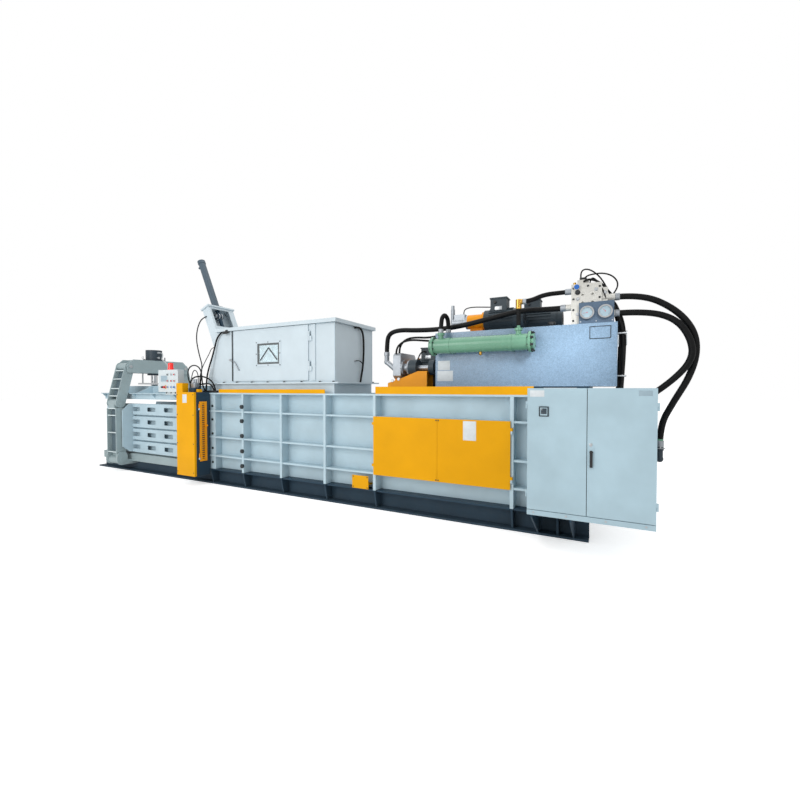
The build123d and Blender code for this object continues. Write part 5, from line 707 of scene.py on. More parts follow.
@dataclass
class Studio:
    """Camera, lamps, pale floor and white surroundings."""

    eye: Point = (4.766, -5.091, 1.600)
    yaw: float = 26.556
    pitch: float = 1.230
    focal_px: float = 397.33
    centre_px: Span = (406.82, 397.13)
    width_px: float = 800.0
    sensor: float = 36.0
    far_clip: float = 200.0
    floor_half: float = 60.0
    sky_light: float = 0.71

    def camera(self) -> None:
        """Places the camera where the photograph was taken."""
        data = bpy.data.cameras.new("camera")
        data.sensor_width = self.sensor
        data.lens = self.focal_px / self.width_px * self.sensor
        data.shift_x = -(self.centre_px[0] - self.width_px / 2) / self.width_px
        data.shift_y = (self.centre_px[1] - self.width_px / 2) / self.width_px
        data.clip_end = self.far_clip
        made = placed("camera", data)
        made.location = self.eye
        made.rotation_euler = (math.radians(90 - self.pitch), 0.0, math.radians(self.yaw))
        bpy.context.scene.camera = made

    @staticmethod
    def hang(data: bpy.types.Light, at: Point, towards: Point) -> None:
        """Hangs a lamp and turns it to what it lights.

        Args:
            data: The lamp.
            at: Its place.
            towards: The point that it faces.
        """
        made = placed(data.name, data)
        made.location = at
        made.rotation_euler = (Vector(towards) - Vector(at)).to_track_quat("-Z", "Y").to_euler()

    def lamps(self) -> None:
        """Sets the key on the operator side, a top light, a fill from the right and a spot on the tank."""
        for name, at, towards, size, watts in (("key", (-1.0, -8.6, 4.4), (0.5, 0.0, 1.0), 5.0, 355.0),
                                               ("top", (1.0, 0.5, 9.0), (0.5, 0.0, 0.5), 8.0, 260.0),
                                               ("fill", (9.5, -5.0, 4.0), (2.0, 0.0, 1.0), 5.0, 45.0)):
            data = bpy.data.lights.new(name, "AREA")
            data.size = size
            data.energy = watts
            self.hang(data, at, towards)
        spot = bpy.data.lights.new("tank_sheen", "SPOT")
        spot.energy = 210.0
        spot.spot_size = math.radians(38.0)
        spot.spot_blend = 1.0
        spot.shadow_soft_size = 0.3
        self.hang(spot, (5.2, -1.9, 3.0), (4.30, -0.32, 1.90))

    def surroundings(self) -> None:
        """Makes the world white for the camera, and softer as a light."""
        world = bpy.data.worlds.new("white_studio")
        bpy.context.scene.world = world
        tree = fresh_tree(world)
        rays = node(tree, "LightPath")
        seen = node(tree, "Math", {"operation": "MAXIMUM"}, i0=rays.outputs["Is Camera Ray"],
                    i1=rays.outputs["Is Transmission Ray"])
        level = node(tree, "MapRange", {"To Min": self.sky_light, "To Max": 1.0}, Value=seen.outputs[0])
        back = node(tree, "Background", {"Color": grey(1.0)}, Strength=level.outputs[0])
        node(tree, "OutputWorld", Surface=back.outputs[0])

    def floor(self) -> None:
        """Lays a pale floor that stays white to the camera but keeps the shadow."""
        part = bmesh.new()
        bmesh.ops.create_grid(part, x_segments=1, y_segments=1, size=self.floor_half)
        data = bpy.data.meshes.new("floor")
        part.to_mesh(data)
        part.free()
        made = placed("floor", data)
        material = bpy.data.materials.new("pale_studio_floor")
        tree = fresh_tree(material)
        paint = node(tree, "BsdfPrincipled", {"Base Color": grey(0.92), "Roughness": 0.9})
        glow = node(tree, "Emission", {"Color": grey(1.0), "Strength": 0.5})
        rays = node(tree, "LightPath")
        both = node(tree, "AddShader", i0=paint.outputs[0], i1=glow.outputs[0])
        pick = node(tree, "MixShader", i0=rays.outputs["Is Camera Ray"], i1=paint.outputs[0],
                    i2=both.outputs[0])
        node(tree, "OutputMaterial", Surface=pick.outputs[0])
        data.materials.append(material)

    def build(self) -> None:
        """Builds the whole studio."""
        self.camera()
        self.lamps()
        self.surroundings()
        self.floor()


@dataclass
class HoseRun:
    """One hose: its route in metres, its thickness, its finish and the solid of the frame that it stands in
    for.
    """

    name: str
    route: list[Point]
    diameter: float
    node: str | None = None
    finish: Finish = RUBBER
    stiffness: str = "stiff"
    lay: str = "taut"

    def build(self) -> None:
        data = bpy.data.curves.new(self.name, "CURVE")
        data.dimensions = "3D"
        data.bevel_depth = self.diameter / 2
        data.bevel_resolution = 5
        data.resolution_u = 10
        data.use_fill_caps = True
        spline = data.splines.new("NURBS")
        spline.points.add(len(self.route) - 1)
        for point, place in zip(spline.points, self.route):
            point.co = (*place, 1.0)
        spline.order_u = 3
        spline.use_endpoint_u = True
        made = placed(self.name, data)
        data.materials.append(self.finish.material())
        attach(made, "frame")
        length = self.length(made)
        if self.node:
            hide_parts(self.node)
        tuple(self.route[0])
        LOG.info("hose %s: %.2f m", self.name, length)

    @staticmethod
    def length(made: bpy.types.Object) -> float:
        """Measures the middle line of a hose.

        Args:
            made: The hose's curve object.

        Returns:
            Its length in metres.
        """
        depth = made.data.bevel_depth
        made.data.bevel_depth = 0.0
        bpy.context.view_layer.update()
        mesh = bpy.data.meshes.new_from_object(made)
        made.data.bevel_depth = depth
        points = [vertex.co.copy() for vertex in mesh.vertices]
        bpy.data.meshes.remove(mesh)
        return sum((b - a).length for a, b in zip(points, points[1:]))


# Routes in metres; those of the large hoses repeat the points of their solids.
HOSE_ROUTES: dict[str, list[Point]] = {
    "loop_upper": [
        (4.85, -0.2, 2.595), (5.105, -0.2, 2.595), (5.39, -0.188, 2.43), (5.56, -0.16, 2.215),
        (5.602, -0.14, 1.985), (5.545, -0.11, 1.725), (5.41, -0.06, 1.455), (5.3, 0.0, 1.2),
        (5.3, 0.0, 0.97),
    ],
    "loop_lower": [
        (4.85, -0.2, 2.418), (5.13, -0.2, 2.418), (5.395, -0.22, 2.322), (5.528, -0.225, 2.12),
        (5.556, -0.215, 1.9), (5.39, -0.15, 1.68), (5.11, -0.04, 1.45), (4.85, 0.0, 1.29),
        (4.85, 0.0, 1.08),
    ],
    "pressure_run": [
        (1.93, -0.06, 2.072), (1.93, -0.06, 2.222), (1.958, -0.064, 2.385), (2.13, -0.078, 2.432),
        (2.42, -0.1, 2.404), (2.76, -0.147, 2.388), (3.1, -0.18, 2.405), (3.48, -0.2, 2.47),
        (3.85, -0.205, 2.535), (4.15, -0.2, 2.52), (4.354, -0.2, 2.52),
    ],
    "cooler_bend": [
        (2.925, -0.455, 2.29), (2.925, -0.455, 2.45), (2.943, -0.4, 2.532), (2.961, -0.325, 2.5),
        (2.96, -0.285, 2.42), (2.96, -0.285, 2.311),
    ],
    "tee_run": [
        (3.919, -0.455, 2.585), (4.0, -0.455, 2.585), (4.13, -0.34, 2.665), (4.3, -0.2, 2.7),
        (4.412, -0.2, 2.7),
    ],
}

# Each thin cable's diameter and route.
CABLE_ROUTES: dict[str, tuple[float, list[Point]]] = {
    "block_arc_high": (0.016, [
        (4.505, -0.13, 2.852), (4.5, -0.14, 2.9), (4.522, -0.16, 2.941), (4.57, -0.16, 2.945),
        (4.625, -0.16, 2.916), (4.695, -0.17, 2.845), (4.752, -0.19, 2.745), (4.8, -0.2, 2.632),
    ]),
    "block_arc_wide": (0.016, [
        (4.54, -0.12, 2.852), (4.56, -0.122, 2.88), (4.64, -0.128, 2.89), (4.73, -0.13, 2.888),
        (4.82, -0.132, 2.85), (4.876, -0.14, 2.775), (4.872, -0.17, 2.69), (4.832, -0.2, 2.63),
    ]),
    "block_arc_front": (0.014, [
        (4.6, -0.2, 2.762), (4.604, -0.205, 2.82), (4.64, -0.215, 2.826), (4.69, -0.228, 2.76),
        (4.735, -0.246, 2.67), (4.762, -0.234, 2.582),
    ]),
    "block_arc_thick": (0.024, [
        (4.54, -0.19, 2.8), (4.562, -0.224, 2.812), (4.63, -0.222, 2.806), (4.705, -0.215, 2.765),
        (4.765, -0.205, 2.695), (4.812, -0.2, 2.632),
    ]),
    "tank_conduit": (0.044, [
        (4.78, -0.1, 2.586), (4.83, -0.1, 2.575), (4.878, -0.1, 2.47), (4.926, -0.1, 2.34),
        (4.946, -0.1, 2.18), (4.942, -0.1, 1.96), (4.93, -0.1, 1.74), (4.92, -0.13, 1.56),
        (4.915, -0.29, 1.44), (4.915, -0.46, 1.42), (4.915, -0.6185, 1.42),
    ]),
    "tank_conduit_near": (0.044, [
        (4.78, -0.15, 2.54), (4.822, -0.15, 2.535), (4.858, -0.15, 2.43), (4.892, -0.15, 2.29),
        (4.906, -0.15, 2.1), (4.902, -0.15, 1.88), (4.896, -0.15, 1.7), (4.88, -0.19, 1.52),
        (4.86, -0.33, 1.42), (4.855, -0.47, 1.4), (4.855, -0.6185, 1.4),
    ]),
    "tank_conduit_front": (0.03, [
        (4.78, -0.2, 2.48), (4.83, -0.2, 2.478), (4.88, -0.2, 2.4), (4.915, -0.2, 2.28),
        (4.934, -0.2, 2.12), (4.932, -0.2, 1.9), (4.922, -0.2, 1.7), (4.905, -0.23, 1.56),
        (4.885, -0.35, 1.45), (4.885, -0.48, 1.44), (4.885, -0.6185, 1.44),
    ]),
    "pump_box_hose": (0.014, [
        (3.05, 0.06, 2.59), (3.05, 0.055, 2.64), (3.1, 0.02, 2.668), (3.2, 0.0, 2.672),
        (3.32, 0.005, 2.662), (3.436, 0.03, 2.655),
    ]),
    "low_case_hose": (0.028, [
        (2.15, -0.09, 2.097), (2.15, -0.09, 2.165), (2.19, -0.09, 2.245), (2.28, -0.095, 2.3),
        (2.42, -0.1, 2.308), (2.58, -0.11, 2.292), (2.73, -0.13, 2.3), (2.82, -0.14, 2.33),
        (2.9, -0.15, 2.328),
    ]),
    "low_case_hose_near": (0.028, [
        (2.12, -0.13, 2.09), (2.122, -0.13, 2.15), (2.165, -0.13, 2.215), (2.25, -0.13, 2.262),
        (2.38, -0.135, 2.272), (2.53, -0.14, 2.255), (2.66, -0.15, 2.24), (2.785, -0.16, 2.236),
    ]),
    "low_box_cable": (0.018, [
        (2.452, 0.1, 2.126), (2.45, 0.04, 2.126), (2.43, -0.01, 2.08), (2.4, -0.02, 2.0),
        (2.38, -0.025, 1.99),
    ]),
    "hopper_end_hose": (0.03, [
        (1.338, -0.025, 2.521), (1.362, -0.01, 2.53), (1.368, 0.07, 2.54), (1.368, 0.15, 2.505),
        (1.368, 0.192, 2.395), (1.368, 0.196, 2.2), (1.368, 0.182, 2.02), (1.368, 0.155, 1.88),
        (1.368, 0.12, 1.78), (1.368, 0.1, 1.698),
    ]),
    "hopper_end_branch": (0.014, [
        (1.338, 0.0, 2.023), (1.362, 0.004, 2.026), (1.372, 0.06, 2.03), (1.374, 0.13, 2.01),
        (1.374, 0.176, 1.96),
    ]),
    "tower_cable": (0.018, [
        (-1.371, -0.5, 2.838), (-1.4, -0.535, 2.815), (-1.48, -0.55, 2.755), (-1.56, -0.55, 2.6),
        (-1.575, -0.55, 2.43), (-1.512, -0.56, 2.245), (-1.435, -0.58, 2.105), (-1.35, -0.61, 2.0),
        (-1.332, -0.64, 1.85), (-1.345, -0.65, 1.69), (-1.35, -0.65, 1.545),
    ]),
    "hopper_connector_cable": (0.026, [
        (-0.882, -0.528, 2.547), (-0.93, -0.528, 2.547), (-1.01, -0.53, 2.512), (-1.08, -0.535, 2.43),
        (-1.118, -0.54, 2.3), (-1.165, -0.56, 2.12), (-1.225, -0.58, 1.94), (-1.262, -0.595, 1.77),
        (-1.27, -0.598, 1.568),
    ]),
    "tower_cable_second": (0.012, [
        (-1.18, -0.505, 2.3), (-1.21, -0.535, 2.285), (-1.24, -0.555, 2.19), (-1.3, -0.59, 2.06),
        (-1.345, -0.615, 1.95), (-1.39, -0.625, 1.82), (-1.4, -0.625, 1.68), (-1.4, -0.625, 1.545),
    ]),
    "tie_coil_hose": (0.02, [
        (-1.455, -0.72, 1.545), (-1.48, -0.721, 1.65), (-1.53, -0.723, 1.72), (-1.56, -0.725, 1.8),
        (-1.55, -0.728, 1.925), (-1.46, -0.73, 1.985), (-1.35, -0.728, 1.99), (-1.255, -0.722, 1.94),
        (-1.225, -0.712, 1.84), (-1.245, -0.69, 1.7), (-1.262, -0.65, 1.6), (-1.27, -0.612, 1.568),
    ]),
    "tie_low_hose": (0.024, [
        (-1.5, -0.69, 1.545), (-1.495, -0.69, 1.64), (-1.42, -0.68, 1.69), (-1.3, -0.66, 1.665),
        (-1.19, -0.64, 1.69), (-1.09, -0.62, 1.66), (-1.05, -0.605, 1.54),
    ]),
    "tie_high_loop": (0.014, [
        (-1.59, -0.64, 1.545), (-1.6, -0.64, 1.7), (-1.57, -0.64, 1.86), (-1.5, -0.64, 1.93),
        (-1.42, -0.64, 1.86), (-1.395, -0.65, 1.72), (-1.392, -0.66, 1.545),
    ]),
    "tie_bundle": (0.024, [
        (-1.6, -0.66, 1.542), (-1.598, -0.66, 1.69), (-1.54, -0.66, 1.775), (-1.42, -0.658, 1.808),
        (-1.24, -0.65, 1.8), (-1.11, -0.64, 1.75), (-1.04, -0.62, 1.66), (-1.02, -0.602, 1.54),
    ]),
    "squeeze_cylinder_cable": (0.018, [
        (-3.545, -0.01, 2.34), (-3.4, -0.02, 2.34), (-3.2, -0.12, 2.27), (-2.95, -0.3, 2.18),
        (-2.65, -0.48, 2.14), (-2.35, -0.62, 2.08), (-2.13, -0.7, 2.01), (-2.08, -0.74, 1.922),
    ]),
}


@dataclass
class HoseSet:
    """The large hoses of the power pack, on the routes of their solids."""

    thick: float = 0.064
    cooler: float = 0.0544
    tee: float = 0.0512

    def build(self) -> None:
        """Builds every large hose in place of its solid."""
        for name, diameter, solid in (("loop_upper", self.thick, "loop_hose_upper"),
                                      ("loop_lower", self.thick, "loop_hose_lower"),
                                      ("pressure_run", self.thick, "pressure_hose"),
                                      ("cooler_bend", self.cooler, "cooler_hose"),
                                      ("tee_run", self.tee, "tee_hose")):
            HoseRun(name, HOSE_ROUTES[name], diameter, solid).build()


@dataclass
class CableSet:
    """The thin cables and hoses that are only in the picture, each with its first point on a fitting."""

    pale: str = "squeeze_cylinder_cable"

    def build(self) -> None:
        """Builds every thin cable."""
        for name, (diameter, route) in CABLE_ROUTES.items():
            finish = PALE_CABLE if name == self.pale else RUBBER
            HoseRun(name, route, diameter, finish=finish, stiffness="medium", lay="loose").build()


@dataclass
class ChamberDetail:
    """Weld beads in the wall pockets, and the bolts and screws of the pressing chamber."""

    skin: float = 0.470
    posts: tuple[float, ...] = (-0.389, 0.417, 1.234, 2.051, 3.838)
    post_half: float = 0.020
    ribs: tuple[float, ...] = (0.480, 0.792, 1.226)
    rib_half: float = 0.012
    ends: Span = (-1.058, 4.576)
    bay: Span = (2.120, 3.780)
    bay_height: Span = (0.52, 1.19)
    foot: float = 0.258
    soffit: float = 1.506
    bead: float = 0.0045
    seat_x: tuple[float, ...] = (-0.917, -0.610, -0.270, 0.070, 0.410, 0.750, 1.090, 1.330)
    seat_y: float = 0.534
    seat_z: float = 1.695
    seat_bolt: Pair = (0.016, 0.016)
    strip_left_x: tuple[float, ...] = (-0.860, -0.389, 0.014, 0.417, 0.826, 1.180)
    strip_left_yz: Pair = (-0.604, 1.560)
    strip_right_x: tuple[float, ...] = (2.16, 2.62, 3.10, 3.56, 4.00)
    strip_right_yz: Pair = (-0.612, 1.578)
    strip_screw: Pair = (0.008, -0.006)
    access_x: Span = (1.716, 1.938)
    access_y: float = -0.616
    access_z: Span = (0.276, 0.414)
    access_screw: Pair = (0.007, -0.005)

    def welds(self) -> None:
        """Runs a fillet bead along both sides of every post and rib, past the open service bay."""
        made = Batch("wall_weld_beads", BODY)
        left, right = self.ends
        for side in (-1, 1):
            y = side * self.skin
            for post in self.posts:
                for x in around(post, self.post_half):
                    made.rod((x, y, self.foot), (x, y, self.soffit), self.bead)
            for rib in self.ribs:
                at_bay = side == -1 and self.bay_height[0] < rib < self.bay_height[1]
                spans = ((left, self.bay[0]), (self.bay[1], right)) if at_bay else (self.ends,)
                for z in around(rib, self.rib_half):
                    for start, end in spans:
                        made.rod((start, y, z), (end, y, z), self.bead)
            made.rod((left, y, self.soffit), (right, y, self.soffit), self.bead)
        made.done()

    def fixings(self) -> None:
        """Bolts the hopper seat to the wall flanges and screws the yellow strips and the access plate on."""
        Batch("hopper_seat_bolts", BLACK_BOLT).bolts(
            grid(self.seat_x, (-self.seat_y, self.seat_y), self.seat_z), Axis.Z, *self.seat_bolt).done()
        strips = Batch("trim_strip_screws", BLACK_BOLT)
        strips.bolts(grid(self.strip_left_x, *self.strip_left_yz), Axis.Y, *self.strip_screw)
        strips.bolts(grid(self.strip_right_x, *self.strip_right_yz), Axis.Y, *self.strip_screw).done()
        Batch("access_plate_screws", BLACK_BOLT).bolts(
            grid(self.access_x, self.access_y, self.access_z), Axis.Y, *self.access_screw).done()

    def build(self) -> None:
        """Builds every detail of the chamber."""
        self.welds()
        self.fixings()


@dataclass
class ServiceDoorDetail:
    """The seam catches and the blank plate of the two yellow doors."""

    face: float = -0.645
    plate_x: Span = (3.279, 3.436)
    plate_z: Span = (0.996, 1.221)
    plate_thick: float = 0.0012
    rivet_inset: float = 0.008
    rivet: Pair = (0.003, -0.0015)
    left_catch_x: float = 2.938
    right_catch_x: float = 2.967
    catch_z: Span = (0.492, 1.215)
    catch: Pair = (0.0085, -0.004)

    def build(self) -> None:
        """Builds the door details, each on its own leaf."""
        Batch("door_blank_plate", WHITE, "service_right").box(
            self.plate_x, label(self.face, self.plate_thick), self.plate_z, 0.0004).done()
        rivets = grid(inset(self.plate_x, self.rivet_inset), self.face - self.plate_thick + LIFT,
                      inset(self.plate_z, self.rivet_inset))
        Batch("door_plate_rivets", ZINC, "service_right").discs(rivets, Axis.Y, *self.rivet, steps=12).done()
        for body, x in (("service_left", self.left_catch_x), ("service_right", self.right_catch_x)):
            Batch(f"{body}_catches", BLACK_BOLT, body).discs(
                grid(x, self.face, self.catch_z), Axis.Y, *self.catch).done()


@dataclass
class HopperDetail:
    """Screws, latch and pane fittings of the hopper door, hose clips, lifting eyes and weld beads."""

    door: float = -0.516
    frame_x: Span = (-0.193, 0.335)
    frame_z: Span = (1.948, 2.340)
    frame_thick: float = 0.006
    screw_inset: float = 0.017
    screw: Pair = (0.007, -0.006)
    latch_radius: float = 0.009
    latch_hub: Pair = (0.012, -0.022)
    pane_x: Span = (-0.159, 0.301)
    pane_z: Span = (1.982, 2.306)
    gasket_side: float = 0.034
    gasket_end: float = 0.030
    gasket_gap: float = 0.0005
    gasket_depth: Span = (0.006, 0.013)
    stay_radius: float = 0.0115
    stay_depth: float = 0.010
    glow_inset: float = 0.002
    glow_depth: Span = (0.0145, 0.0158)
    rim_z: float = 2.543
    seat_z: float = 1.697
    bead: float = 0.004

    def door_fittings(self) -> None:
        """Adds the screws of the pane frame and the bent latch handle."""
        y = self.door - self.frame_thick
        sides, ends = inset(self.frame_x, self.screw_inset), inset(self.frame_z, self.screw_inset)
        middle_x, middle_z = sum(self.frame_x) / 2, sum(self.frame_z) / 2
        screws = Batch("pane_frame_screws", BLACK_BOLT, "hatch")
        screws.bolts(grid((sides[0], middle_x, sides[1]), y, ends), Axis.Y, *self.screw)
        screws.bolts(grid(sides, y, middle_z), Axis.Y, *self.screw).done()
        grip, bend, pivot = ((-0.690, self.door - 0.014, 2.050), (-0.640, self.door - 0.018, 2.010),
                             (-0.572, self.door - 0.014, 1.905))
        latch = Batch("hatch_latch", CAST, "hatch")
        latch.rod(grip, bend, self.latch_radius, 12).rod(bend, pivot, self.latch_radius, 12)
        latch.disc((pivot[0], self.door, pivot[2]), Axis.Y, *self.latch_hub).done()

    def pane(self) -> None:
        """Adds the gasket round the pane, the two stays, and a pale sheet behind them that glows: painted
        light seen through the pane.
        """
        y = (self.door + self.gasket_depth[0], self.door + self.gasket_depth[1])
        outer_x, outer_z = inset(self.pane_x, self.gasket_gap), inset(self.pane_z, self.gasket_gap)
        inner_x, inner_z = inset(self.pane_x, self.gasket_side), inset(self.pane_z, self.gasket_end)
        gasket = Batch("pane_gasket", TAPE, "hatch")
        for x in ((outer_x[0], inner_x[0]), (inner_x[1], outer_x[1])):
            gasket.box(x, y, outer_z, 0.001)
        for z in ((outer_z[0], inner_z[0]), (inner_z[1], outer_z[1])):
            gasket.box(inner_x, y, z, 0.001)
        gasket.done()
        stays = Batch("pane_stays", BARREL, "hatch")
        top = (0.071, self.door + self.stay_depth, 2.235)
        for foot in grid((-0.105, 0.247), self.door + self.stay_depth, 2.045):
            stays.rod(top, foot, self.stay_radius, 12)
        stays.done()
        # A pale sheet that glows behind the pane: painted light seen through it.
        y = (self.door + self.glow_depth[0], self.door + self.glow_depth[1])
        Batch("pane_painted_glow", PANE_GLOW, "hatch").box(
            inset(self.pane_x, self.glow_inset), y, inset(self.pane_z, self.glow_inset), 0.0).done()

    def side_fittings(self) -> None:
        """Adds the latch rod with its eye and the dark seal beside the door."""
        Batch("latch_rod", ZINC).rod((-0.765, -0.528, 2.071), (-0.722, -0.528, 2.053), 0.007, 12).disc(
            (-0.780, -0.501, 2.071), Axis.Y, 0.016, -0.030).done()
        Batch("hatch_gap_seal", BLACK).box((-0.742, -0.716), (-0.5165, -0.5142), (1.722, 2.540), 0.001).done()

    def end_fittings(self) -> None:
        """Adds the clips of the end hose and the lifting eyes under the rim."""
        clips = Batch("end_hose_clips", ZINC)
        for y, z in ((-0.025, 2.521), (0.000, 2.023)):
            clips.box((1.3322, 1.346), around(y, 0.022), around(z, 0.010), 0.002)
        clips.done()
        eyes = Batch("hopper_lifting_eyes", BODY)
        for x in (-0.95, 1.15):
            for y in (-0.515, 0.515):
                eyes.box(around(x, 0.006), around(y, 0.024), (2.545, 2.598), 0.002)
        eyes.done()

    def welds(self) -> None:
        """Runs a bead under the rim, along the seat and down the end."""
        made = Batch("hopper_weld_beads", BODY)
        for y in (-0.5005, 0.5005):
            made.rod((-1.10, y, self.rim_z), (1.33, y, self.rim_z), self.bead)
            made.rod((-1.36, y, self.seat_z), (1.33, y, self.seat_z), self.bead)
        for y in (-0.5, 0.5):
            made.rod((1.3325, y, self.seat_z), (1.3325, y, self.rim_z), self.bead)
        made.done()

    def build(self) -> None:
        """Builds every detail of the hopper."""
        self.door_fittings()
        self.pane()
        self.side_fittings()
        self.end_fittings()
        self.welds()


@dataclass
class ControlDetail:
    """The screen, caps, collars and plates of the control box, its screws and its cable glands."""

    face: float = -0.800
    lamp_face: float = -0.812
    columns: tuple[float, ...] = (-1.984, -1.885, -1.800)
    rows: tuple[float, ...] = (1.840, 1.732, 1.626)
    selector_x: float = -2.150
    stop_x: float = -2.053
    cap: Pair = (0.0135, -0.007)
    collar: Pair = (0.0152, 0.0195)
    collar_height: float = -0.004
    stop_ring: Pair = (0.0215, 0.033)
    stop_ring_height: float = -0.0012
    plate_half: float = 0.022
    plate_rise: Span = (0.026, 0.038)
    plate_thick: float = 0.001
    screw: Pair = (0.005, -0.002)
    gland: Pair = (0.013, -0.026)

    def screen(self) -> None:
        """Adds the display and the pale strip over it."""
        Batch("control_screen", DIAL).box(
            (-2.172, -1.998), (self.face - 0.0068, self.face - 0.0062), (1.722, 1.838), 0.0002).done()
        Batch("screen_header", WHITE).box(
            (-2.170, -2.000), (self.face - 0.0074, self.face - 0.0068), (1.824, 1.836), 0.0002).done()

    def buttons(self) -> None:
        """Adds the fixed caps, every collar, the yellow ring round the stop button and the blank plates."""
        left, middle, right = self.columns
        top, centre, low = self.rows
        selector = (self.selector_x, low)
        fixed = [(left, top), (middle, top), (right, top), (left, centre), (middle, centre), (right, centre),
                 (left, low), (middle, low)]
        for name, finish, places in (("black_caps", BLACK, (fixed[0], selector)),
                                     ("grey_caps", ZINC, fixed[1:2]), ("red_caps", RED, fixed[2:6]),
                                     ("blue_caps", BLUE, fixed[6:])):
            Batch(name, finish).discs([(x, self.lamp_face, z) for x, z in places],
                                      Axis.Y, *self.cap, 0.002, 20).done()
        collars = Batch("push_button_collars", ZINC)
        for x, z in (*fixed, selector):
            collars.ring((x, self.face, z), Axis.Y, *self.collar, self.collar_height)
        collars.done()
        Batch("stop_ring", YELLOW).ring(
            (self.stop_x, self.face, low), Axis.Y, *self.stop_ring, self.stop_ring_height).done()
        plates = Batch("button_blank_plates", WHITE)
        for x, z in fixed:
            plates.box(around(x, self.plate_half), label(self.face, self.plate_thick),
                       (z + self.plate_rise[0], z + self.plate_rise[1]), 0.0002)
        plates.done()

    def fixings(self) -> None:
        """Adds the lid screws and the glands under the box."""
        Batch("control_box_screws", ZINC).discs(
            grid((-2.235, -1.727), self.face, (1.557, 1.907)), Axis.Y, *self.screw, 0.0005, 12).done()
        Batch("control_box_glands", BLACK).discs(
            grid((-2.10, -1.98, -1.86), -0.745, 1.540), Axis.Z, *self.gland).done()

    def build(self) -> None:
        """Builds every detail of the control box."""
        self.screen()
        self.buttons()
        self.fixings()


@dataclass
class TieDetail:
    """The blank plate and the screws of the yellow tying cover."""

    face: float = -0.900
    plate_x: Span = (-1.452, -1.346)
    plate_z: Span = (1.368, 1.506)
    plate_thick: float = 0.0013
    screw_x: Span = (-1.590, -1.188)
    screw_z: tuple[float, ...] = (0.230, 0.700, 1.170, 1.500)
    screw: Pair = (0.007, -0.005)

    def build(self) -> None:
        """Builds the details of the tying cover."""
        Batch("tie_blank_plate", WHITE).box(
            self.plate_x, label(self.face, self.plate_thick), self.plate_z, 0.0004).done()
        Batch("tie_cover_screws", BLACK_BOLT).bolts(
            grid(self.screw_x, self.face, self.screw_z), Axis.Y, *self.screw).done()


@dataclass
class TowerDetail:
    """The valve block on the tying frame, a black strip of painted shadow under the hopper's skirt, the
    pusher's pin and the hopper's connector.
    """

    solenoid: Pair = (0.022, 0.058)
    pin_x: float = -1.349
    pin_z: float = 2.868
    pin: Pair = (0.034, 0.150)
    pin_collar: Pair = (0.060, 0.018)
    plug_y: float = -0.528
    plug_z: float = 2.547

    def build(self) -> None:
        """Builds the fittings between tower, hopper and tying frame."""
        block = Batch("tie_valve_block", CAST).box((-1.410, -1.306), (-0.780, -0.700), (1.611, 1.700), 0.003)
        block.discs(grid((-1.385, -1.335), -0.740, 1.700), Axis.Z, *self.solenoid, 0.003).done()
        Batch("tie_valve_foot", BASE).box((-1.430, -1.290), (-0.800, -0.680), (1.542, 1.611), 0.002).done()
        # Painted shadow: a black strip on the flange top where the hopper's skirt casts shade.
        Batch("skirt_painted_shadow", BLACK).box((-1.336, -0.988), (-0.618, -0.580), (1.5325, 1.568), 0.003).done()
        pin = Batch("pusher_clevis_pin", ZINC, "pusher")
        pin.disc((self.pin_x, -0.345, self.pin_z), Axis.Y, *self.pin, 0.004)
        pin.discs(grid(self.pin_x, (-0.305, -0.253), self.pin_z), Axis.Y, *self.pin_collar, 0.003).done()
        Batch("hopper_connector_collar", WHITE).disc(
            (-0.882, self.plug_y, self.plug_z), Axis.X, 0.022, 0.028).done()
        Batch("hopper_connector", BLACK).disc(
            (-0.854, self.plug_y, self.plug_z), Axis.X, 0.026, 0.055, 0.004).box(
            (-0.900, -0.800), (-0.560, -0.5435), (2.50, 2.544), 0.002).done()


@dataclass
class CabinetDetail:
    """Blank plates, meter, lock, sill bolts and door seal of the electrical cabinet."""

    face: float = -1.040
    plate_thick: float = 0.0012
    bezel_thick: float = 0.007
    glass_depth: Span = (0.0092, 0.0081)
    lock_x: float = 4.650
    lock_z: float = 1.069
    lock_half: Pair = (0.014, 0.023)
    lock_thick: float = 0.003
    barrel: Pair = (0.009, -0.004)
    sill_x: tuple[float, ...] = (4.14, 4.44, 4.78, 5.10)
    sill_z: float = 0.378
    sill_bolt: Pair = (0.008, -0.006)

    def build(self) -> None:
        """Builds the cabinet's details, each on its own door."""
        y = label(self.face, self.plate_thick)
        Batch("cabinet_left_blank_plate", WHITE, "cab_left").box(
            (4.100, 4.236), y, (1.520, 1.583), 0.0003).done()
        Batch("cabinet_right_blank_plate", DIAL, "cab_right").box(
            (5.030, 5.135), y, (1.536, 1.583), 0.0003).done()
        Batch("meter_bezel", MOTOR, "cab_left").box(
            (4.186, 4.278), label(self.face, self.bezel_thick), (1.328, 1.427), 0.002).done()
        glass_y = (self.face - self.glass_depth[0], self.face - self.glass_depth[1])
        Batch("meter_glass", SCREEN, "cab_left").box((4.205, 4.259), glass_y, (1.352, 1.408), 0.0003).done()
        lock = Batch("cabinet_lock_plate", ZINC, "cab_right")
        lock.box(around(self.lock_x, self.lock_half[0]), (self.face - self.lock_thick, self.face),
                 around(self.lock_z, self.lock_half[1]), 0.001)
        lock.disc((self.lock_x, self.face - self.lock_thick, self.lock_z), Axis.Y, *self.barrel).done()
        Batch("cabinet_sill_bolts", ZINC).bolts(
            grid(self.sill_x, self.face, self.sill_z), Axis.Y, *self.sill_bolt).done()
        Batch("cabinet_door_seal", BLACK).box(
            (4.613, 4.619), (self.face + 0.012, self.face + 0.020), (0.42, 1.59), 0.0005).done()


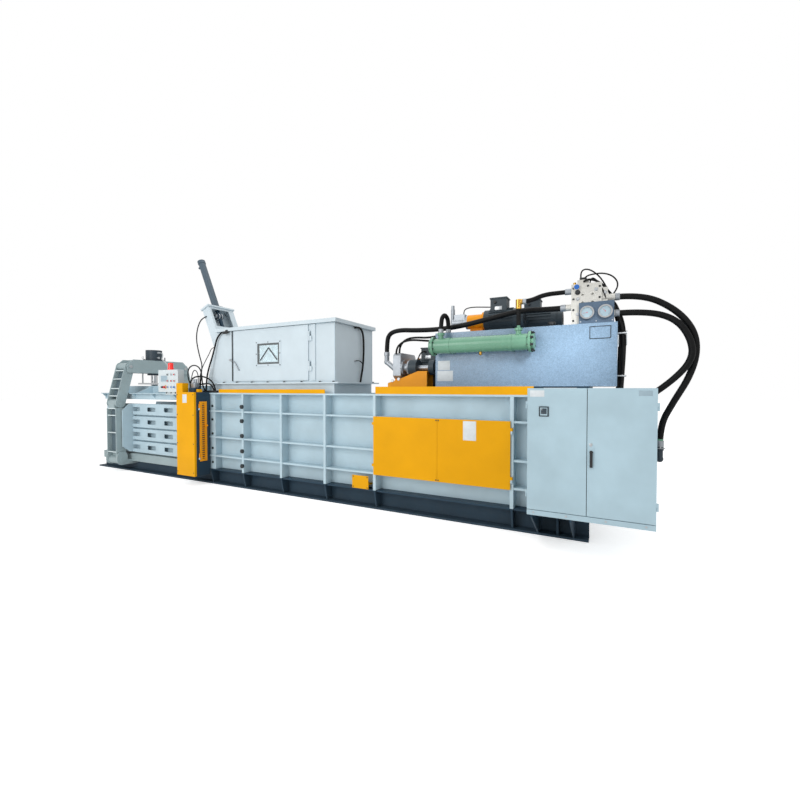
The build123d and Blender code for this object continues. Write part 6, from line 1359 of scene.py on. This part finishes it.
@dataclass
class SqueezeDetail:
    """Painted shade and highlights on the arms, their pin keepers, and the cylinder's fittings on the squeeze
    portal.
    """

    inner: Span = (-3.836, -3.564)
    knee: Span = (0.735, 1.320)
    head: Span = (0.560, 2.030)
    pin_end: float = 0.193
    keeper_plate: Pair = (0.030, 0.006)
    keeper_bolt: Pair = (0.007, 0.006)
    keeper_pitch: float = 0.014
    web: float = 0.007
    shade_film: float = 0.003
    rung: float = 0.016
    rung_half: float = 0.0799
    highlight_film: float = 0.002
    lower_rungs: tuple[float, ...] = (0.388, 0.758, 1.088, 1.220)
    upper_rungs: tuple[float, ...] = (0.17, 0.37, 0.63, 0.86)
    middle: float = -3.700
    gland: Pair = (0.190, 0.024)
    gland_circle: float = 0.170
    gland_bolt: Pair = (0.012, 0.014)
    port: Pair = (0.020, 0.040)
    cap_circle: float = 0.118
    cap_bolt: Pair = (0.010, 0.0165)

    def pockets(self, half: str, foot: Point, run: Vector, rungs: tuple[float, ...], side: int) -> None:
        """Lays painted shade on the web and painted highlights on the rung edges in one half of an arm.

        Args:
            half: The half and side of the arm, as its body is called.
            foot: The point that the rungs are counted from.
            run: The way up the half, which the rungs' values multiply.
            rungs: The rungs' places.
            side: -1 for the near arm, 1 for the far one.
        """
        width = self.inner[1] - self.inner[0]
        out = Vector((0.0, side * run.z, -side * run.y)).normalized()
        turn = Matrix.Rotation(math.atan2(-run.y, run.z), 4, "X")
        part, ending = half.split("_")
        # Darker sheets on the web between the rungs: painted shade in the pockets.
        web = Batch(f"{part}_web_{ending}", POCKET_SHADE, half)
        for low, high in zip(rungs, rungs[1:]):
            size = (width, self.shade_film, (high - low) * run.length - self.rung)
            web.bar(Vector(foot) + run * (low + high) / 2 + out * (self.web + 0.001), size, turn)
        web.done(False)
        # Pale strips on the rung edges: painted highlight of the light that they catch.
        edges = Batch(f"{part}_edges_{ending}", RUNG_HIGHLIGHT, half)
        for place in rungs:
            edges.bar(Vector(foot) + run * place + out * (self.rung_half + 0.0004),
                      (width, self.highlight_film, self.rung), turn)
        edges.done(False)

    def keeper(self, name: str, y: float, out: int) -> None:
        """Adds a round keeper plate with two bolts on the end of a head pin.

        Args:
            name: The piece's name.
            y: The pin's Y.
            out: The direction in which the pin's end points along X.
        """
        x, z = self.middle + out * self.pin_end, self.head[1]
        (radius, thick), (head, height) = self.keeper_plate, self.keeper_bolt
        plate = Batch(name, ZINC, "beam").disc((x, y, z), Axis.X, radius, out * thick)
        places = grid(x + out * thick, around(y, self.keeper_pitch), z)
        plate.bolts(places, Axis.X, head, out * height).done()

    def arms(self) -> None:
        """Dresses both arms and their head pins."""
        centre = sum(self.inner) / 2
        for side, name in ((-1, "near"), (1, "far")):
            knee_y = side * self.knee[0]
            run = Vector((0.0, side * self.head[0] - knee_y, self.head[1] - self.knee[1]))
            self.pockets(f"lower_{name}", (centre, knee_y, 0.0), Vector((0.0, 0.0, 1.0)), self.lower_rungs,
                         side)
            self.pockets(f"upper_{name}", (centre, knee_y, self.knee[1]), run, self.upper_rungs, side)
            self.keeper(f"head_pin_{name}_right", side * self.head[0], 1)
            self.keeper(f"head_pin_{name}_left", side * self.head[0], -1)

    def cylinder(self) -> None:
        """Adds the gland, the two bolt circles and the ports of the squeeze cylinder."""
        Batch("squeeze_cylinder_gland", BARREL, "beam").disc(
            (self.middle, 0.0, 2.1725), Axis.Z, *self.gland, 0.003, 48).done()
        Batch("squeeze_cylinder_bolts", BLACK_BOLT, "beam").bolts(
            circle((self.middle, 0.0, 2.1965), Axis.Z, self.gland_circle, 8), Axis.Z, *self.gland_bolt).done()
        Batch("squeeze_cylinder_ports", ZINC, "beam").discs(
            grid(-3.552, -0.010, (2.340, 2.235)), Axis.X, *self.port).done()
        cap = circle((self.middle, 0.0, 2.3775), Axis.Z, self.cap_circle, 8, 0.0)
        Batch("squeeze_cylinder_cap_bolts", BLACK_BOLT, "beam").bolts(cap, Axis.Z, *self.cap_bolt).done()

    def build(self) -> None:
        """Builds the details of the squeeze portal."""
        self.arms()
        self.cylinder()


@dataclass(frozen=True)
class MotorFittings:
    """Where the terminal box and the fan end of one electric motor lie."""

    box_x: Span
    y: float
    z: float
    top: float
    radius: float
    fan_x: float


@dataclass
class PowerDetail:
    """Everything small on the tank: gauges, block screws, crimps, plates, motor fittings."""

    dial_y: float = -0.330
    dial_z: float = 2.430
    dials: Span = (4.578, 4.757)
    readings: Span = (0.12, 0.34)
    bezel: Pair = (0.0560, 0.0715)
    dial: Pair = (0.0618, -0.0010)
    scale_steps: int = 20
    scale_radius: float = 0.052
    mark_long: float = 0.010
    mark_short: float = 0.006
    pointer: Point = (0.050, 0.0006, 0.0022)
    pointer_reach: float = 0.018
    pointer_hub: Pair = (0.005, -0.002)
    gauge_screw: Pair = (0.007, -0.003)
    block_face: float = -0.250
    socket: Pair = (0.011, -0.008)
    plug: Pair = (0.016, -0.012)
    tank_x: Span = (2.799, 4.872)
    tank_y: Span = (-0.320, 0.540)
    tank_z: Span = (1.625, 2.311)
    tank_top: float = 2.3175
    tank_plate: float = 0.0012
    cover_bolt: Pair = (0.009, 0.008)
    lid_share: float = 0.72
    lid_inset: Pair = (0.008, 0.014)
    lid_screw: Pair = (0.006, 0.003)
    wall_share: float = 0.65
    gland: Pair = (0.017, -0.024)
    grille_rings: int = 6
    grille_share: float = 0.12
    grille_bar: Pair = (0.005, 0.0012)
    cooler_y: float = -0.455
    cooler_z: float = 2.130
    flange_circle: float = 0.105
    case_bolt: Pair = (0.012, -0.010)
    boss: Pair = (0.021, -0.008)
    motors_at: tuple[MotorFittings, ...] = (
        MotorFittings((2.392, 2.604), 0.215, 1.895, 2.186, 0.140, 2.783),
        MotorFittings((3.435, 3.640), 0.060, 2.486, 2.761, 0.135, 3.850),
        MotorFittings((3.800, 4.000), 0.370, 2.486, 2.761, 0.125, 4.270),
    )
    crimps_at: tuple[tuple[Point, Axis, float, float], ...] = (
        ((4.850, -0.200, 2.595), Axis.X, 0.0390, 0.046), ((4.850, -0.200, 2.418), Axis.X, 0.0390, 0.046),
        ((4.354, -0.200, 2.520), Axis.X, 0.0390, -0.060), ((4.412, -0.200, 2.700), Axis.X, 0.0340, -0.070),
        ((3.919, -0.455, 2.585), Axis.X, 0.0320, 0.040), ((2.925, -0.455, 2.290), Axis.Z, 0.0330, 0.050),
        ((2.960, -0.285, 2.3112), Axis.Z, 0.0330, 0.045), ((1.930, -0.060, 2.072), Axis.Z, 0.0390, 0.055),
        ((5.300, 0.0, 0.970), Axis.Z, 0.0390, 0.065), ((4.850, 0.0, 1.080), Axis.Z, 0.0390, 0.065),
    )

    def stroke(self, made: Batch, x: float, depth: float, share: float, reach: float, size: Point) -> None:
        """Adds a scale mark or a pointer to a dial.

        Args:
            made: The piece that gets it.
            x: The dial's middle.
            depth: How far it lies behind the gauge's front.
            share: Its place on the scale, from 0 to 1.
            reach: The distance of its middle from the dial's middle.
            size: Its length, thickness and width.
        """
        turn = math.radians(225 - 270 * share)
        at = (x + reach * math.cos(turn), self.dial_y + depth, self.dial_z + reach * math.sin(turn))
        made.bar(at, size, Matrix.Rotation(-turn, 4, "Y"))

    def gauges(self) -> None:
        """Adds bezels, faces, scales and pointers to the two pressure gauges, and the plate's screws."""
        bezel, face = Batch("gauge_bezels", CHROME), Batch("gauge_faces", DIAL)
        marks, hand = Batch("gauge_scales", BLACK), Batch("gauge_pointers", RED)
        for x, reading in zip(self.dials, self.readings):
            bezel.ring((x, self.dial_y, self.dial_z), Axis.Y, *self.bezel, -0.005)
            face.disc((x, self.dial_y + 0.004, self.dial_z), Axis.Y, *self.dial, 0.0002, 40)
            for step in range(self.scale_steps + 1):
                length = self.mark_long if step % 5 == 0 else self.mark_short
                self.stroke(marks, x, 0.0028, step / self.scale_steps, self.scale_radius - length / 2,
                            (length, 0.0004, 0.0014))
            self.stroke(hand, x, 0.0022, reading, self.pointer_reach, self.pointer)
            hand.disc((x, self.dial_y + 0.003, self.dial_z), Axis.Y, *self.pointer_hub, 0.0004, 16)
        for made in (bezel, face, marks, hand):
            made.done()
        Batch("gauge_plate_screws", ZINC).discs(
            grid((4.512, 4.668, 4.826), -0.300, 2.335), Axis.Y, *self.gauge_screw, 0.001, 16).done()

    def manifold(self) -> None:
        """Adds the socket screws, plugs, cap, fittings and coil connector of the valve block."""
        front = self.block_face
        sockets = (*grid((4.435, 4.700), front, (2.36, 2.48, 2.60, 2.72)), (4.583, front, 2.735))
        Batch("block_socket_screws", BLACK_BOLT).discs(sockets, Axis.Y, *self.socket, 0.001, 20).done()
        plugs = ((4.480, front, 2.600), (4.665, front, 2.690), (4.480, front, 2.430), (4.751, -0.234, 2.650))
        Batch("block_plugs", ZINC).bolts(plugs, Axis.Y, *self.plug).done()
        Batch("block_blue_cap", BLUE).disc((4.470, -0.279, 2.728), Axis.Y, 0.027, -0.008, 0.003).done()
        Batch("block_left_fitting", BLACK_BOLT).bolt((4.478, front, 2.672), Axis.Y, 0.022, -0.030).done()
        Batch("coil_connector", BLACK).box((4.492, 4.565), (-0.165, -0.100), (2.823, 2.856), 0.004).done()
        Batch("block_top_fitting", BRASS).disc((4.441, -0.150, 2.765), Axis.Z, 0.016, 0.042).done()

    def crimps(self) -> None:
        """Adds the swaged collars, nuts and bands at the hose ends, and the tee with its sleeve."""
        made = Batch("hose_crimps", CAST)
        for at, axis, radius, length in self.crimps_at:
            made.disc(at, axis, radius, length, 0.004, 36)
        made.done()
        x, y = 3.873, self.cooler_y
        Batch("tee_stem_sleeve", RUBBER).disc((x, y, 2.318), Axis.Z, 0.0235, 0.185, 0.003).done()
        tee = Batch("tee_fitting", BRASS).disc((x, y, 2.503), Axis.Z, 0.0330, 0.111, 0.004)
        tee.disc((x, y, 2.585), Axis.X, 0.0300, 0.047, 0.003).done()
        Batch("hose_green_bands", COOLER).discs(
            ((5.300, 0.0, 1.035), (4.850, 0.0, 1.145)), Axis.Z, 0.0345, 0.018, 0.001, 36).done()
        nuts = Batch("hose_nuts", ZINC).bolt((2.925, y, 2.272), Axis.Z, 0.036, 0.020)
        nuts.bolts(((5.300, 0.0, 0.950), (4.850, 0.0, 1.060)), Axis.Z, 0.044, 0.026).done()

    def tank(self) -> None:
        """Adds the blank plates, weld beads, conduit clips and level glass of the tank."""
        plates, plate_y = Batch("tank_blank_plates", WHITE), label(self.tank_y[0], self.tank_plate)
        plates.box((2.831, 2.995), plate_y, (1.836, 1.956), 0.0003)
        plates.box((2.824, 3.036), plate_y, (1.696, 1.827), 0.0003).done()
        seam = Batch("tank_weld_beads", TANK)
        (left, right), (bottom, top) = self.tank_x, self.tank_z
        for x, y in itertools.product(self.tank_x, self.tank_y):
            seam.rod((x, y, bottom), (x, y, top), 0.004)
        for y in self.tank_y:
            seam.rod((left, y, bottom + 0.003), (right, y, bottom + 0.003), 0.005)
        seam.done()
        clips = Batch("conduit_clips", ZINC)
        for z in (1.739, 2.200):
            clips.box((4.8725, 4.966), (-0.218, -0.074), around(z, 0.008), 0.002)
        clips.box((4.962, 4.970), (-0.200, -0.160), (2.069, 2.229), 0.002).done()
        Batch("tank_level_glass", WHITE).box((4.8725, 4.890), (-0.236, -0.219), (2.051, 2.181), 0.003).done()

    def tank_covers(self) -> None:
        """Adds the cleaning cover with its bolts, the breather and the rim of the dark front plate."""
        Batch("tank_cover_bolts", BLACK_BOLT).bolts(
            grid((3.96, 4.12, 4.28), (-0.26, 0.10), self.tank_top), Axis.Z, *self.cover_bolt).done()
        rim = Batch("tank_plate_rim", MOTOR)
        corners = [(4.609, -0.3215, 2.143), (4.811, -0.3215, 2.143), (4.811, -0.3215, 2.272),
                   (4.609, -0.3215, 2.272)]
        for start, end in zip(corners, corners[1:] + corners[:1]):
            rim.rod(start, end, 0.0045)
        rim.done()
        Batch("tank_cover", TANK).box(
            (3.93, 4.31), (-0.29, 0.13), (self.tank_z[1], self.tank_top), 0.002).done()
        Batch("tank_breather", BLACK).disc((4.20, -0.200, self.tank_top), Axis.Z, 0.036, 0.018).disc(
            (4.20, -0.200, self.tank_top + 0.018), Axis.Z, 0.046, 0.036, 0.006).done()

    def motors(self) -> None:
        """Adds lid screws, glands, blank plates and fan grilles to the motors."""
        screws, glands = Batch("motor_lid_screws", ZINC), Batch("motor_glands", BLACK)
        plates, grilles = Batch("motor_blank_plates", ZINC), Batch("fan_grilles", BLACK)
        for motor in self.motors_at:
            lid_x = inset(motor.box_x, self.lid_inset[0])
            lid_y = inset(around(motor.y, motor.radius * self.lid_share), self.lid_inset[1])
            screws.discs(grid(lid_x, lid_y, motor.top), Axis.Z, *self.lid_screw, 0.001, 12)
            wall = motor.y - motor.radius * self.wall_share
            glands.disc((motor.box_x[0] + 0.060, wall, motor.top - 0.060), Axis.Y, *self.gland)
            plates.box(around(sum(motor.box_x) / 2, 0.045), (wall - 0.0012, wall),
                       (motor.top - 0.158, motor.top - 0.112), 0.0003)
            width, height = self.grille_bar
            for step in range(1, self.grille_rings + 1):
                inner = motor.radius * self.grille_share * step
                grilles.ring((motor.fan_x, motor.y, motor.z), Axis.X, inner, inner + width, height)
        for made in (screws, glands, plates, grilles):
            made.done()

    def cooler(self) -> None:
        """Adds the flange bolts and the drain plug of the oil cooler."""
        bolts = Batch("cooler_flange_bolts", BLACK_BOLT)
        for _, y, z in circle((0.0, self.cooler_y, self.cooler_z), Axis.X, self.flange_circle, 8):
            bolts.bolt((4.020, y, z), Axis.X, 0.015, 0.030)
            bolts.bolt((2.818, y, z), Axis.X, 0.010, -0.014)
            bolts.disc((2.846, y, z), Axis.X, 0.008, 0.012, 0.001, 12)
            bolts.disc((3.992, y, z), Axis.X, 0.008, -0.012, 0.001, 12)
        bolts.done()
        drain = Batch("cooler_plugs", BRASS).disc((3.431, self.cooler_y, 2.038), Axis.Z, 0.018, -0.026)
        drain.bolt((3.431, self.cooler_y, 2.012), Axis.Z, 0.014, -0.014).done()

    def low_set(self) -> None:
        """Adds the cradle bosses, the case bolts and the flange bolts of the low pump set."""
        Batch("cradle_bosses", ZINC).discs(
            ((2.09, -0.190, 1.712), (2.19, -0.190, 1.732)), Axis.Y, *self.boss).done()
        case = [(2.084, y, z) for y, z in ((-0.12, 1.78), (-0.12, 2.06), (0.10, 1.75), (0.10, 2.09),
                                           (0.29, 1.78), (0.29, 2.06))]
        bolts = Batch("gear_case_bolts", BLACK_BOLT).bolts(case, Axis.X, *self.case_bolt)
        bolts.bolts(circle((2.620, -0.060, 1.890), Axis.X, 0.084, 6), Axis.X, 0.011, -0.012).done()

    def build(self) -> None:
        """Builds every detail of the power pack."""
        self.gauges()
        self.manifold()
        self.crimps()
        self.tank()
        self.tank_covers()
        self.motors()
        self.cooler()
        self.low_set()


def dress_frame(nodes: dict[str, bpy.types.Object]) -> None:
    """Gives every carried-over CAD node its finish.

    Args:
        nodes: The frame's objects by node name.
    """
    for name, finish in NODE_FINISH.items():
        made = nodes[name]
        material = finish.material()
        if not made.material_slots:
            made.data.materials.append(material)
        for place in made.material_slots:
            place.material = material


def main() -> None:
    """Builds the dressed baler."""
    logging.basicConfig(level=logging.INFO, format="%(message)s")
    bpy.context.scene.view_settings.view_transform = "Standard"
    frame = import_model()
    Studio().build()
    HoseSet().build()
    CableSet().build()
    dress_frame(frame["nodes"])
    for detail in (ChamberDetail, ServiceDoorDetail, HopperDetail, ControlDetail, TieDetail, TowerDetail,
                   CabinetDetail, SqueezeDetail, PowerDetail):
        detail().build()


if __name__ == "__main__":
    main()
